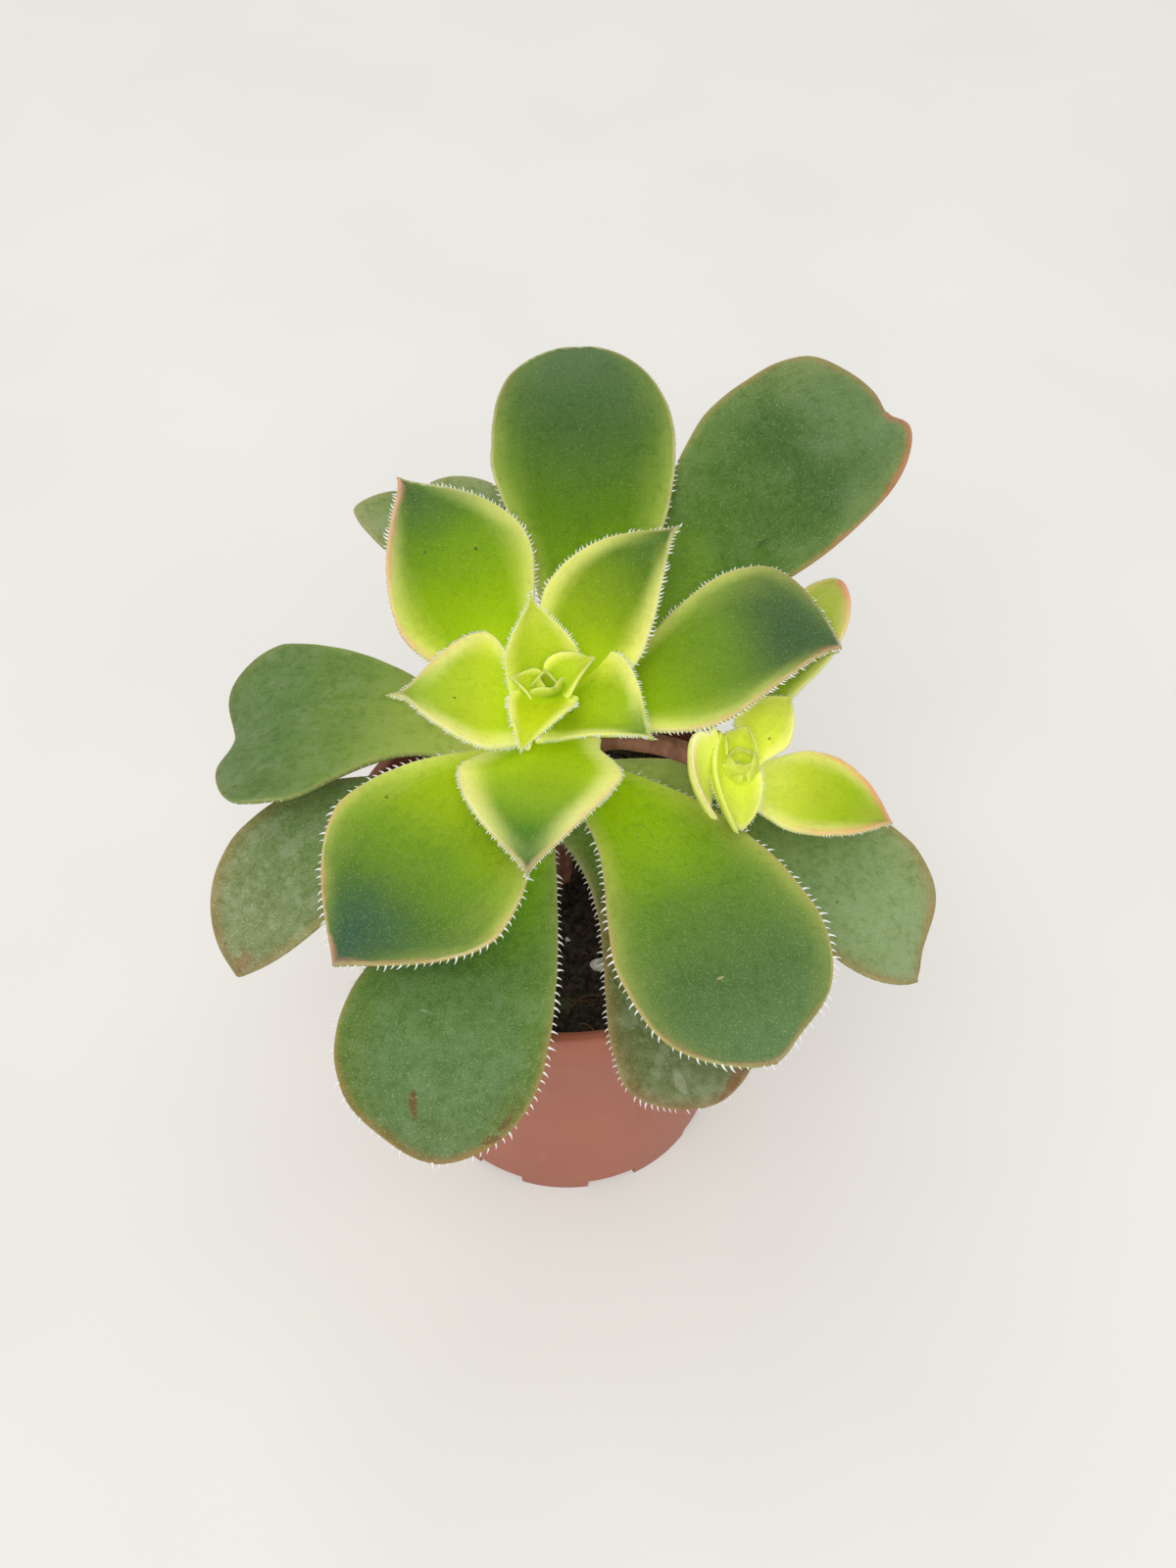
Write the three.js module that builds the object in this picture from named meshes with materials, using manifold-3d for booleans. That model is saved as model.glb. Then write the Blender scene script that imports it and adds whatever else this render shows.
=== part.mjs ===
// Potted kiwi aeonium: a rosette of thick spoon-shaped leaves with one side rosette, in a small pot.
// Millimetres, +Z up. The pot stands on Z = 0 with its axis on the origin, and the front is -Y.
import * as THREE from 'three';
import Module from 'manifold-3d';

const wasm = await Module();
wasm.setup();

// Driving dimensions of the pot: a 5.5 cm nursery pot.
const potHeight = 50;
const rimRadius = 27.5;
const baseRadius = 19.8;
const collarHeight = 6.4;
const collarStep = 0.9;
const collarTaper = 0.4;
const wall = 1.1;
const potFloor = 3;
const footNotches = 8;
const footNotchWidth = 6.6;
const footNotchHeight = 2.2;
const footNotchDepth = 4.5;
const footNotchTurn = -72;
const drainRadius = 2;
const drainCircle = 12.5;
const potSides = 64;

// Driving dimensions of the potting mix and of what lies on it.
const clearance = 0.3;
const soilHeight = 45;
const soilBump = 0.45;
const soilRings = 9;
const soilSides = 40;
const socketGap = 0.5;
const grainSize = 2.4;
const grainShape = { x: 1, y: 0.8, z: 0.7 };

// Driving dimensions of the stems.
const stemAxis = { x: -2, y: 0 };
const stemFoot = 41;
const stemTop = 76.4;
const stemRadius = 2.9;
const stemTaperFrom = 66;
const stemTipRadius = 1.3;
const branchRadius = 1.1;
const offsetAxis = { x: 19.4, y: -2.6 };
const offsetFoot = 65.8;
const offsetTop = 68.6;
const offsetTipRadius = 1;

// Leaf blades: thickness at the midrib near the base, and at the margin.
const blade = { base: 1.9, middle: 2.1, margin: 0.8 };
const youngBlade = { base: 1.1, middle: 1.2, margin: 0.7 };
const tipThinning = 0.45;
const upperShare = 0.4;
const tipHalfWidth = 0.3;

const radians = THREE.MathUtils.degToRad;
const { clamp, lerp, smoothstep } = THREE.MathUtils;

function vec(x, y, z) {
  return new THREE.Vector3(x, y, z);
}

function surfaceOf(points, triangles) {
  const geometry = new THREE.BufferGeometry();
  geometry.setAttribute('position', new THREE.Float32BufferAttribute(points, 3));
  geometry.setIndex(triangles);
  geometry.computeVertexNormals();
  return geometry;
}

// A closed body through rings of equal point count. Each ring runs along one face and back along
// the other, so that both faces and both end caps are split alike.
function loft(rings) {
  const count = rings[0].length;
  const half = count / 2;
  const points = rings.flat().flatMap((point) => [point.x, point.y, point.z]);
  const triangles = [];
  for (let row = 0; row + 1 < rings.length; row += 1) {
    for (let i = 0; i < count; i += 1) {
      const next = (i + 1) % count;
      const a = row * count + i;
      const b = row * count + next;
      const c = a + count;
      const d = b + count;
      if (i < half) triangles.push(a, b, d, a, d, c);
      else triangles.push(a, b, c, b, d, c);
    }
  }
  for (let i = 0; i + 1 < half; i += 1) {
    const far = count - 1 - i;
    const last = (rings.length - 1) * count;
    triangles.push(i, far, i + 1, far, far - 1, i + 1);
    triangles.push(last + i, last + i + 1, last + far, last + i + 1, last + far - 1, last + far);
  }
  return surfaceOf(points, triangles);
}

function toSolid(geometry) {
  const vertProperties = Float32Array.from(geometry.attributes.position.array);
  const triVerts = Uint32Array.from(geometry.index.array);
  return new wasm.Manifold(new wasm.Mesh({ numProp: 3, vertProperties, triVerts }));
}

function fromSolid(solid) {
  const mesh = solid.getMesh();
  return surfaceOf(Array.from(mesh.vertProperties), Array.from(mesh.triVerts));
}

function join(geometries) {
  const solids = geometries.map(toSolid);
  return fromSolid(solids.reduce((whole, piece) => whole.add(piece)));
}

function cut(geometry, cutters) {
  const solids = cutters.map(toSolid);
  return fromSolid(solids.reduce((whole, piece) => whole.subtract(piece), toSolid(geometry)));
}

function circleRing(centre, radius, sides, side = vec(1, 0, 0), up = vec(0, 1, 0)) {
  return Array.from({ length: sides }, (_, i) => {
    const angle = (2 * Math.PI * i) / sides;
    return centre.clone().addScaledVector(side, radius * Math.cos(angle))
      .addScaledVector(up, radius * Math.sin(angle));
  });
}

function column(x, y, bottom, top, radius, sides = 12) {
  return loft([circleRing(vec(x, y, bottom), radius, sides), circleRing(vec(x, y, top), radius, sides)]);
}

// A block that is long in its own radial direction, turned about the pot's axis.
function radialBlock(angle, from, to, width, bottom, top) {
  const out = vec(Math.cos(angle), Math.sin(angle), 0);
  const across = vec(-out.y, out.x, 0);
  const rings = [bottom, top].map((z) => [[from, -1], [to, -1], [to, 1], [from, 1]].map(([r, side]) => (
    vec(0, 0, z).addScaledVector(out, r).addScaledVector(across, (side * width) / 2)
  )));
  return loft(rings);
}

// A tube along a smooth path, with its own radius at every step.
function tube(path, steps, sides, radiusAt) {
  const { normals, binormals } = path.computeFrenetFrames(steps, false);
  const rings = Array.from({ length: steps + 1 }, (_, i) => (
    circleRing(path.getPointAt(i / steps), radiusAt(i / steps), sides, normals[i], binormals[i])
  ));
  return loft(rings);
}

// The pot's walls as radii at a height. The collar stands out from the outer wall.
function wallRadius(z) {
  return lerp(baseRadius, rimRadius - collarTaper - collarStep, z / (potHeight - collarHeight));
}

function innerRadius(z) {
  return wallRadius(z) - wall;
}

// The pot is its outer body less its hollow, its foot notches and its drain holes.
function makePot() {
  const collarFoot = potHeight - collarHeight;
  const outside = [
    [baseRadius - 0.5, 0], [baseRadius, 0.6], [wallRadius(collarFoot), collarFoot - 0.5],
    [rimRadius - collarTaper, collarFoot], [rimRadius, potHeight - 0.4], [rimRadius - 0.3, potHeight],
  ];
  const inside = [
    [innerRadius(potFloor) - 0.6, potFloor], [innerRadius(potFloor + 0.8), potFloor + 0.8],
    [innerRadius(potHeight + 1), potHeight + 1],
  ];
  const turned = (profile) => loft(profile.map(([r, z]) => circleRing(vec(0, 0, z), r, potSides)));
  const notches = Array.from({ length: footNotches }, (_, i) => {
    const angle = radians(footNotchTurn + (360 / footNotches) * i);
    const from = baseRadius - footNotchDepth;
    return radialBlock(angle, from, baseRadius + 3, footNotchWidth, -1, footNotchHeight);
  });
  const drains = Array.from({ length: footNotches / 2 }, (_, i) => {
    const angle = radians(footNotchTurn + (720 / footNotches) * i);
    const spot = vec(Math.cos(angle), Math.sin(angle), 0).multiplyScalar(drainCircle);
    return column(spot.x, spot.y, -1, potFloor + 1, drainRadius);
  });
  return cut(turned(outside), [turned(inside), ...notches, ...drains]);
}

// The surface of the potting mix is uneven: a sum of a few waves that fades towards the wall.
function soilLevel(x, y) {
  const waves = Math.sin(0.9 * x + 1.3) * Math.cos(0.7 * y) + 0.6 * Math.sin(1.7 * x - 1.1 * y)
    + 0.5 * Math.cos(2.3 * y + 0.4 * x);
  return soilHeight + soilBump * waves;
}

function makeSoil() {
  const bottom = potFloor + clearance;
  const rim = innerRadius(soilHeight - 2 * soilBump) - clearance;
  const foot = innerRadius(bottom) - 0.6 - clearance;
  const centre = vec(0, 0, soilLevel(0, 0));
  const top = Array.from({ length: soilRings }, (_, i) => {
    const radius = (rim * (i + 1)) / soilRings;
    return circleRing(vec(0, 0, 0), radius, soilSides).map((p) => vec(p.x, p.y, soilLevel(p.x, p.y)));
  });
  const sides = [circleRing(vec(0, 0, bottom + 1), innerRadius(bottom + 1) - clearance, soilSides)];
  sides.push(circleRing(vec(0, 0, bottom), foot, soilSides));
  const rings = [...top, ...sides];
  const points = [centre, ...rings.flat(), vec(0, 0, bottom)].flatMap((p) => [p.x, p.y, p.z]);
  const last = 1 + rings.length * soilSides;
  const triangles = [];
  for (let i = 0; i < soilSides; i += 1) {
    const next = (i + 1) % soilSides;
    triangles.push(0, 1 + i, 1 + next);
    for (let row = 0; row + 1 < rings.length; row += 1) {
      const a = 1 + row * soilSides + i;
      const b = 1 + row * soilSides + next;
      triangles.push(a, a + soilSides, b, b, a + soilSides, b + soilSides);
    }
    triangles.push(last - soilSides + i, last, last - soilSides + next);
  }
  const { x, y } = stemAxis;
  const socket = column(x, y, stemFoot - clearance, soilHeight + 5, stemRadius + socketGap);
  return cut(surfaceOf(points, triangles), [socket]);
}

// A loose white grain that lies on the highest spot of potting mix below it.
function makeGrain(x, y, size) {
  const grain = new THREE.IcosahedronGeometry(size / 2, 0);
  grain.scale(grainShape.x, grainShape.y, grainShape.z);
  grain.computeBoundingBox();
  const around = [-0.4, 0, 0.4];
  const level = Math.max(...around.flatMap((i) => around.map((j) => soilLevel(x + i, y + j))));
  return { geometry: weld(grain), position: vec(x, y, level - grain.boundingBox.min.z) };
}

// One point for each corner, where the geometry class repeats corners for every face.
function weld(geometry) {
  const source = geometry.attributes.position;
  const points = [];
  const known = new Map();
  const triangles = [];
  for (let i = 0; i < source.count; i += 1) {
    const corner = [source.getX(i), source.getY(i), source.getZ(i)];
    const key = corner.map((value) => value.toFixed(4)).join();
    if (!known.has(key)) {
      known.set(key, known.size);
      points.push(...corner);
    }
    triangles.push(known.get(key));
  }
  return surfaceOf(points, triangles);
}

function stemRadiusAt(z) {
  return lerp(stemRadius, stemTipRadius, clamp((z - stemTaperFrom) / (stemTop - stemTaperFrom), 0, 1));
}

function offsetRadiusAt(z) {
  return lerp(branchRadius, offsetTipRadius, clamp((z - offsetFoot) / (offsetTop - offsetFoot), 0, 1));
}

// The main stem stands in the potting mix, and its side branch carries the side rosette.
function makeStem() {
  const { x, y } = stemAxis;
  const end = offsetAxis;
  const trunk = new THREE.CatmullRomCurve3([
    vec(x, y, stemFoot), vec(x, y, 48), vec(x, y, 55), vec(x, y, 62), vec(x, y, 70), vec(x, y, stemTop),
  ]);
  const trunkRadius = (t) => stemRadiusAt(trunk.getPointAt(t).z);
  const branch = new THREE.CatmullRomCurve3([
    vec(x, y, 64.8), vec(x + 3, y + 0.8, 66.8), vec(5, 2, 67.3), vec(9.5, 1.7, 66.9), vec(14, 0.6, 66.2),
    vec(17, -1.4, 65.6), vec(end.x - 0.4, end.y + 0.1, 66.3), vec(end.x, end.y, offsetTop),
  ]);
  const branchRadiusAt = (t) => lerp(branchRadius, offsetTipRadius, smoothstep(t, 0.7, 1));
  return join([tube(trunk, 12, 12, trunkRadius), tube(branch, 16, 10, branchRadiusAt)]);
}

// Half the blade's width at s, the share of the way from base to tip, on its left or right hand.
function halfWidth(leaf, s, hand) {
  const { width, neck, widest, waist, fullness, roundness, dent } = { ...leaf, ...leaf[hand] };
  const swell = smoothstep(s, 0, widest) ** waist;
  const beyond = clamp((s - widest) / (1 - widest), 0, 1);
  const share = s < widest ? lerp(neck / width, 1, swell) : (1 - beyond ** fullness) ** roundness;
  const bitten = dent.depth * Math.exp(-(((s - dent.at) / dent.spread) ** 2));
  return Math.max((width / 2) * share - bitten, tipHalfWidth);
}

const leafDefaults = {
  axis: stemAxis,
  sweep: 0,
  neck: 4.4,
  widest: 0.6,
  waist: 1,
  fullness: 2,
  roundness: 0.5,
  cup: 0.12,
  fold: 0,
  roll: 0,
  left: {},
  right: {},
  dent: { at: 1, depth: 0, spread: 1 },
  notch: 0,
  notchWidth: 3,
  wave: 0,
  point: 0.3,
  blade,
  rows: 13,
  columns: 8,
};

// The midrib: it leaves the stem at heading and bends by sweep, and climbs at rise at its base and
// at droop at its tip, all in degrees.
function midrib(leaf) {
  const steps = 60;
  const seat = radians(leaf.seat ?? leaf.heading);
  const points = [vec(
    leaf.axis.x + leaf.reach * Math.cos(seat),
    leaf.axis.y + leaf.reach * Math.sin(seat),
    leaf.height,
  )];
  for (let i = 0; i < steps; i += 1) {
    const along = direction(leaf, (i + 0.5) / steps);
    points.push(points[i].clone().addScaledVector(along, leaf.length / steps));
  }
  return (s) => {
    const place = clamp(s, 0, 1) * steps;
    const low = Math.min(Math.floor(place), steps - 1);
    return points[low].clone().lerp(points[low + 1], place - low);
  };
}

function direction(leaf, s) {
  const heading = radians(leaf.heading + leaf.sweep * s);
  const climb = radians(lerp(leaf.rise, leaf.droop, s));
  return vec(Math.cos(climb) * Math.cos(heading), Math.cos(climb) * Math.sin(heading), Math.sin(climb));
}

// The blade is fleshy along its midrib and thins towards the margin and the tip.
function thickness(leaf, s, u) {
  const { base, middle, margin } = leaf.blade;
  const body = lerp(base, middle, smoothstep(s, 0, 0.4)) * (1 - tipThinning * s ** 3);
  return Math.max(margin, lerp(body, margin, Math.abs(u) ** 2.4));
}

// One cross-section at s. It is cupped or folded along the midrib, waved at the margin, and its
// tip may be tucked in to a notch. u runs across the blade from -1 to 1.
function leafRing(leaf, rib, s) {
  const along = direction(leaf, s);
  const heading = radians(leaf.heading + leaf.sweep * s);
  const flatSide = vec(Math.sin(heading), -Math.cos(heading), 0);
  const flatUp = flatSide.clone().cross(along);
  const roll = radians(leaf.roll);
  const side = flatSide.clone().multiplyScalar(Math.cos(roll)).addScaledVector(flatUp, Math.sin(roll));
  const up = flatUp.clone().multiplyScalar(Math.cos(roll)).addScaledVector(flatSide, -Math.sin(roll));
  const halves = { left: halfWidth(leaf, s, 'left'), right: halfWidth(leaf, s, 'right') };
  const opening = Math.sin((Math.PI / 2) * clamp(s / 0.9, 0, 1));
  const nearTip = clamp((s - 0.7) / 0.3, 0, 1) ** 2;
  const tipPoint = s > 0.999 ? leaf.point : 0;
  const upper = [];
  const lower = [];
  for (let i = 0; i < leaf.columns; i += 1) {
    const u = Math.sin((Math.PI / 2) * (-1 + (2 * i) / (leaf.columns - 1)));
    const half = u > 0 ? halves.right : halves.left;
    const vee = Math.sqrt(u * u + 0.03) - Math.sqrt(0.03);
    const ripple = leaf.wave * u * u * Math.sin(9 * s + (u > 0 ? 0 : 2.1)) * opening;
    const lift = half * (leaf.cup * u * u + leaf.fold * vee) * opening + ripple;
    const tuck = leaf.notch * nearTip * Math.exp(-(((u * half) / leaf.notchWidth) ** 2));
    const spot = rib(s).addScaledVector(side, u * half).addScaledVector(up, lift - 0.8 * tuck)
      .addScaledVector(along, tipPoint - tuck);
    const thick = thickness(leaf, s, u);
    upper.push(spot.clone().addScaledVector(up, upperShare * thick));
    lower.push(spot.clone().addScaledVector(up, (upperShare - 1) * thick));
  }
  return [...upper, ...lower.reverse()];
}

// A leaf starts just clear of the stem that it grows from, the more so the more steeply it rises.
function makeLeaf(values) {
  const leaf = { ...leafDefaults, ...values };
  const seatRadius = leaf.axis === stemAxis ? stemRadiusAt(leaf.height) : offsetRadiusAt(leaf.height);
  const lean = 0.7 * leaf.blade.base * Math.abs(Math.sin(radians(leaf.rise)));
  leaf.reach ??= seatRadius + clearance + lean;
  const rib = midrib(leaf);
  // Half the sections lie below the widest place, and the others crowd towards the tip.
  const stations = Array.from({ length: leaf.rows }, (_, i) => {
    const t = (2 * i) / (leaf.rows - 1);
    return t < 1 ? leaf.widest * t : lerp(leaf.widest, 1, Math.sin((Math.PI / 2) * (t - 1)));
  });
  return loft(stations.map((s) => leafRing(leaf, rib, s)));
}

// The youngest leaves are still closed into one bud on top of a stem.
function makeBud(axis, foot, radius, leaves) {
  const shared = { axis, height: foot + 0.9, reach: 0.5 * radius, neck: 1.6, blade: youngBlade,
    rows: 7, columns: 6, widest: 0.42, fullness: 1.7, roundness: 0.95, cup: 0.3, point: 0.4 };
  const blades = leaves.map((values) => makeLeaf({ ...shared, ...values }));
  const core = column(axis.x, axis.y, foot, foot + 1.6, radius, 10);
  return join([core, ...blades]);
}

const plant = new THREE.Group();

function finish(color, roughness) {
  return new THREE.MeshStandardMaterial({ color, roughness, metalness: 0 });
}

function place(name, geometry, material, position = vec(0, 0, 0)) {
  const mesh = new THREE.Mesh(geometry, material);
  mesh.name = name;
  mesh.position.copy(position);
  plant.add(mesh);
}

place('pot', makePot(), finish(0xa8695b, 0.6));
place('potting_mix', makeSoil(), finish(0x2f2f2d, 0.95));
place('forked_stem', makeStem(), finish(0x815d3e, 0.8));

// Each grain's place on the potting mix, and its share of the usual size.
const grains = [[4.1, -14.6, 1], [9.5, -10, 0.8], [-9.5, 12, 0.9]];
grains.forEach(([x, y, share], i) => {
  const grain = makeGrain(x, y, share * grainSize);
  place(`perlite_grain_${i + 1}`, grain.geometry, finish(0xe8e6df, 0.9), grain.position);
});

// Leaves from the lowest on the stem upwards. heading, sweep, seat, rise, droop and roll are in
// degrees, with heading and seat from +X towards +Y.
const outerLeaves = [
  { heading: -50, sweep: -28, seat: -50, height: 58.2, rise: 0, droop: -32, length: 37.6, width: 18,
    widest: 0.68, wave: 0.3, right: { widest: 0.8, waist: 1.3, fullness: 3.3 } },
  { heading: -5, sweep: -48, seat: -3, height: 61, rise: 2, droop: -21, length: 46, width: 14,
    widest: 0.76, fullness: 2.5, roundness: 0.6, wave: 0.4,
    left: { width: 22.4, neck: 9, waist: 0.65, fullness: 1.5, dent: { at: 0.97, depth: 2.8, spread: 0.05 } } },
  { heading: -175, sweep: 57, seat: -175, height: 60.2, rise: 4, droop: -25, length: 40.5, width: 12.6,
    widest: 0.61, fullness: 2.2, roundness: 0.8, notch: 0.5, wave: 0.4,
    right: { width: 22.2, waist: 1.2, roundness: 0.9 } },
  { heading: 115, sweep: -2, seat: 97, height: 60.8, rise: 27, droop: 4, length: 42.5, width: 19.6,
    widest: 0.8, waist: 1.5, fullness: 1.9, notch: 0.6, wave: 0.3,
    left: { width: 18.6, widest: 0.94, waist: 3, fullness: 2.3 } },
  { heading: -112, sweep: 19, seat: -115, height: 62.6, rise: 5, droop: -21, length: 44.6, width: 21.2,
    widest: 0.69, waist: 0.5, fullness: 2.6, wave: 0.2,
    right: { width: 23.6, widest: 0.72, waist: 1.6, fullness: 2, dent: { at: 0.97, depth: 1, spread: 0.05 } } },
  { heading: 155, sweep: 27, seat: 165, height: 63.2, rise: 16, droop: -24, length: 38.4, width: 23,
    widest: 0.8, waist: 0.8, fullness: 1.5, notch: 2, notchWidth: 4.6, wave: 0.3,
    left: { width: 28, neck: 5, widest: 0.68, waist: 2.8, fullness: 3.2 } },
  { heading: -46, sweep: -26, seat: -45, height: 65.6, rise: 8, droop: -12, length: 42.4, width: 24,
    widest: 0.69, waist: 1.2, fullness: 3, cup: 0.15,
    left: { width: 21.8, neck: 7, waist: 0.45, fullness: 1.7, dent: { at: 0.98, depth: 2.4, spread: 0.05 } } },
  { heading: 56, sweep: -35, seat: 80, height: 65.4, rise: 16, droop: 34, length: 58.5, width: 18.8,
    widest: 0.72, waist: 1.6, fullness: 3.2, notch: 2.5, wave: 0.2, roll: -22,
    left: { width: 26.4, waist: 2.4, fullness: 2.8, dent: { at: 0.97, depth: 3.3, spread: 0.035 } } },
  { heading: -132, sweep: 9, seat: -132, height: 68.8, rise: 8, droop: -18, length: 32.8, width: 22,
    widest: 0.56, waist: 0.45, fullness: 1.5, roundness: 1, cup: 0.15,
    left: { width: 28, widest: 0.65, waist: 0.6, fullness: 2 } },
  { heading: 76, sweep: 19, seat: 88, height: 67.8, rise: 34, droop: 13, length: 49.4, width: 22,
    widest: 0.68, waist: 0.7, fullness: 2.1, left: { waist: 2, fullness: 3 } },
];
const middleLeaves = [
  { heading: 26, sweep: -17, seat: 15, height: 71.2, rise: 25, droop: -15, length: 33, width: 20,
    widest: 0.44, waist: 0.85, fullness: 1.7, roundness: 1.35, cup: 0.18,
    left: { width: 23.6, widest: 0.78, waist: 1.3, fullness: 2.2, roundness: 0.82 } },
  { heading: 118, sweep: 10, seat: 125, height: 70.4, rise: 36, droop: 20, length: 31.8, width: 17.6,
    widest: 0.6, waist: 1.4, fullness: 2, roundness: 1, cup: 0.2, left: { width: 20, widest: 0.46 } },
  { heading: 66, sweep: -30, seat: 70, height: 73.4, rise: 35, droop: 19, length: 24, width: 15,
    neck: 8, widest: 0.38, waist: 0.8, fullness: 1.8, roundness: 1, cup: 0.2,
    left: { width: 14, neck: 5, widest: 0.46, waist: 1.6, fullness: 2.1 } },
];
const innerLeaves = [
  { heading: -94, seat: -95, height: 71.6, rise: 20, droop: 0, length: 20.5, width: 18.5, neck: 9,
    widest: 0.3, fullness: 1.4, roundness: 1.15, cup: 0.1 },
  { heading: 183, seat: 178, height: 74.1, rise: 28, droop: 2, length: 14.6, width: 17, neck: 7,
    widest: 0.36, fullness: 1.6, roundness: 1.05, cup: 0.2, rows: 11, left: { width: 15, neck: 6 } },
  { heading: -29, seat: -35, height: 75, rise: 28, droop: 0, length: 11.6, width: 12, neck: 5.6,
    widest: 0.34, fullness: 1.7, roundness: 1, cup: 0.15, fold: 0.4, rows: 11, blade: youngBlade,
    left: { width: 15 } },
  { heading: 102, seat: 102, height: 75.6, rise: 62, droop: 56, length: 10.8, width: 8.8, neck: 4.4,
    widest: 0.4, fullness: 1.7, roundness: 1, cup: 0.3, rows: 9, blade: youngBlade },
  { heading: -101, seat: -106, height: 76.9, rise: 25, droop: 0, length: 8.6, width: 8.8, neck: 3.6,
    widest: 0.3, fullness: 1.6, roundness: 1, cup: 0.2, fold: 0.3, rows: 9, blade: youngBlade,
    left: { width: 7.8 } },
];
const offsetLeaves = [
  { heading: -14, sweep: -5, height: 65.8, rise: 6, droop: -14, length: 16.5, width: 12.2, neck: 5,
    widest: 0.4, waist: 0.7, fullness: 2, roundness: 0.9, cup: 0.15 },
  { heading: 68, sweep: -13, height: 66.7, rise: 25, droop: 8, length: 26.7, width: 9.6, neck: 2.6,
    widest: 0.66, waist: 1.6, roundness: 0.55, cup: 0.15, left: { width: 7.2 } },
  { heading: -126, sweep: 56, seat: -165, reach: 2.8, height: 72.2, rise: 8, droop: -8, length: 10,
    width: 8, neck: 1.6, widest: 0.4, fullness: 1.7, roundness: 0.9, cup: 0.1, roll: 66,
    left: { width: 4 }, rows: 9 },
  { heading: 48, height: 68.3, rise: 38, droop: 18, length: 8.2, width: 8, neck: 2.8,
    widest: 0.5, roundness: 0.8, cup: 0.2, rows: 9 },
  { heading: -92, height: 68.5, rise: 13, droop: -10, length: 7.4, width: 7, neck: 2.4,
    widest: 0.4, roundness: 0.8, cup: 0.2, fold: 0.3, rows: 9 },
];
const heartLeaves = [
  { heading: 168, rise: 38, droop: 24, length: 4.2, width: 5.4, cup: 0.35 },
  { heading: 24, rise: 38, droop: 16, length: 6.6, width: 6, fold: 0.3 },
  { heading: -70, rise: 66, droop: 50, length: 3, width: 3.4, cup: 0.5 },
  { heading: 100, rise: 76, droop: 100, length: 2.8, width: 3.4, cup: 0.5 },
];
const offsetHeartLeaves = [
  { heading: 185, rise: 70, droop: 60, length: 4.6, width: 6.6, cup: 0.4 },
  { heading: 90, rise: 48, droop: 34, length: 5.2, width: 4.4 },
  { heading: 10, rise: 62, droop: 60, length: 3.8, width: 4.4, cup: 0.5 },
  { heading: -80, rise: 50, droop: 50, length: 3.8, width: 4.6, cup: 0.5 },
];

function placeLeaves(family, leaves, color, shared = {}) {
  leaves.forEach((values, i) => {
    place(`${family}_${i + 1}`, makeLeaf({ ...shared, ...values }), finish(color, 0.55));
  });
}

placeLeaves('outer_leaf', outerLeaves, 0x5f8050);
placeLeaves('middle_leaf', middleLeaves, 0x6f9a3c, { rows: 12 });
placeLeaves('inner_leaf', innerLeaves, 0xb4cc40);
placeLeaves('offset_leaf', offsetLeaves, 0xb4cc40, { axis: offsetAxis, blade: youngBlade, rows: 10 });

const heartBud = makeBud(stemAxis, stemTop + clearance, stemTipRadius, heartLeaves);
const offsetBud = makeBud(offsetAxis, offsetTop + clearance, offsetTipRadius, offsetHeartLeaves);
place('heart_bud', heartBud, finish(0xc4d84a, 0.55));
place('offset_bud', offsetBud, finish(0xc4d84a, 0.55));

export default plant;
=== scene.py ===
import math

import bmesh
import bpy
import numpy as np
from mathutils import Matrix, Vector


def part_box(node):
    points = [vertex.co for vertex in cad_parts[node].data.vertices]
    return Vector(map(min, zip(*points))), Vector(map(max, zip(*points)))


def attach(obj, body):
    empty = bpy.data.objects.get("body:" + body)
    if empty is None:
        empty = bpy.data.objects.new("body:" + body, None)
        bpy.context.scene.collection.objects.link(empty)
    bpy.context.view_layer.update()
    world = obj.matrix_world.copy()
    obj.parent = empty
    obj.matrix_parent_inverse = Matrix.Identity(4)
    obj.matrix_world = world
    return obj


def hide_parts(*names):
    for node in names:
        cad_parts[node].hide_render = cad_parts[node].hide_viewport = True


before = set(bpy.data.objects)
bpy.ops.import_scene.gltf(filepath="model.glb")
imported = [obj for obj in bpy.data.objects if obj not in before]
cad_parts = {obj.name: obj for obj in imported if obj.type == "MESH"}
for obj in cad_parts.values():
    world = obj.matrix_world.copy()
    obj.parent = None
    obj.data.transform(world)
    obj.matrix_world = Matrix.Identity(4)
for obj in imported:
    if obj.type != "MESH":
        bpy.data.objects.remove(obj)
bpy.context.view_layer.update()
print("frame loaded")

mm = 0.001


# Colours are written as they look on a screen, 0 to 255, and turned into Blender's linear values.
def tint(red, green, blue):
    shares = [channel / 255 for channel in (red, green, blue)]
    return tuple(c / 12.92 if c < 0.04045 else ((c + 0.055) / 1.055) ** 2.4 for c in shares) + (1.0,)


# A socket in a finish's node tree, so that masks can be written as sums.
class Wire:
    def __init__(self, finish, socket):
        self.finish = finish
        self.socket = socket

    def __add__(self, other):
        return self.finish.math("ADD", self, other)

    def __sub__(self, other):
        return self.finish.math("SUBTRACT", self, other)

    def __rsub__(self, other):
        return self.finish.math("SUBTRACT", other, self)

    def __mul__(self, other):
        return self.finish.math("MULTIPLY", self, other)

    def __truediv__(self, other):
        return self.finish.math("DIVIDE", self, other)

    def __rtruediv__(self, other):
        return self.finish.math("DIVIDE", other, self)

    __radd__ = __add__
    __rmul__ = __mul__


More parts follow.
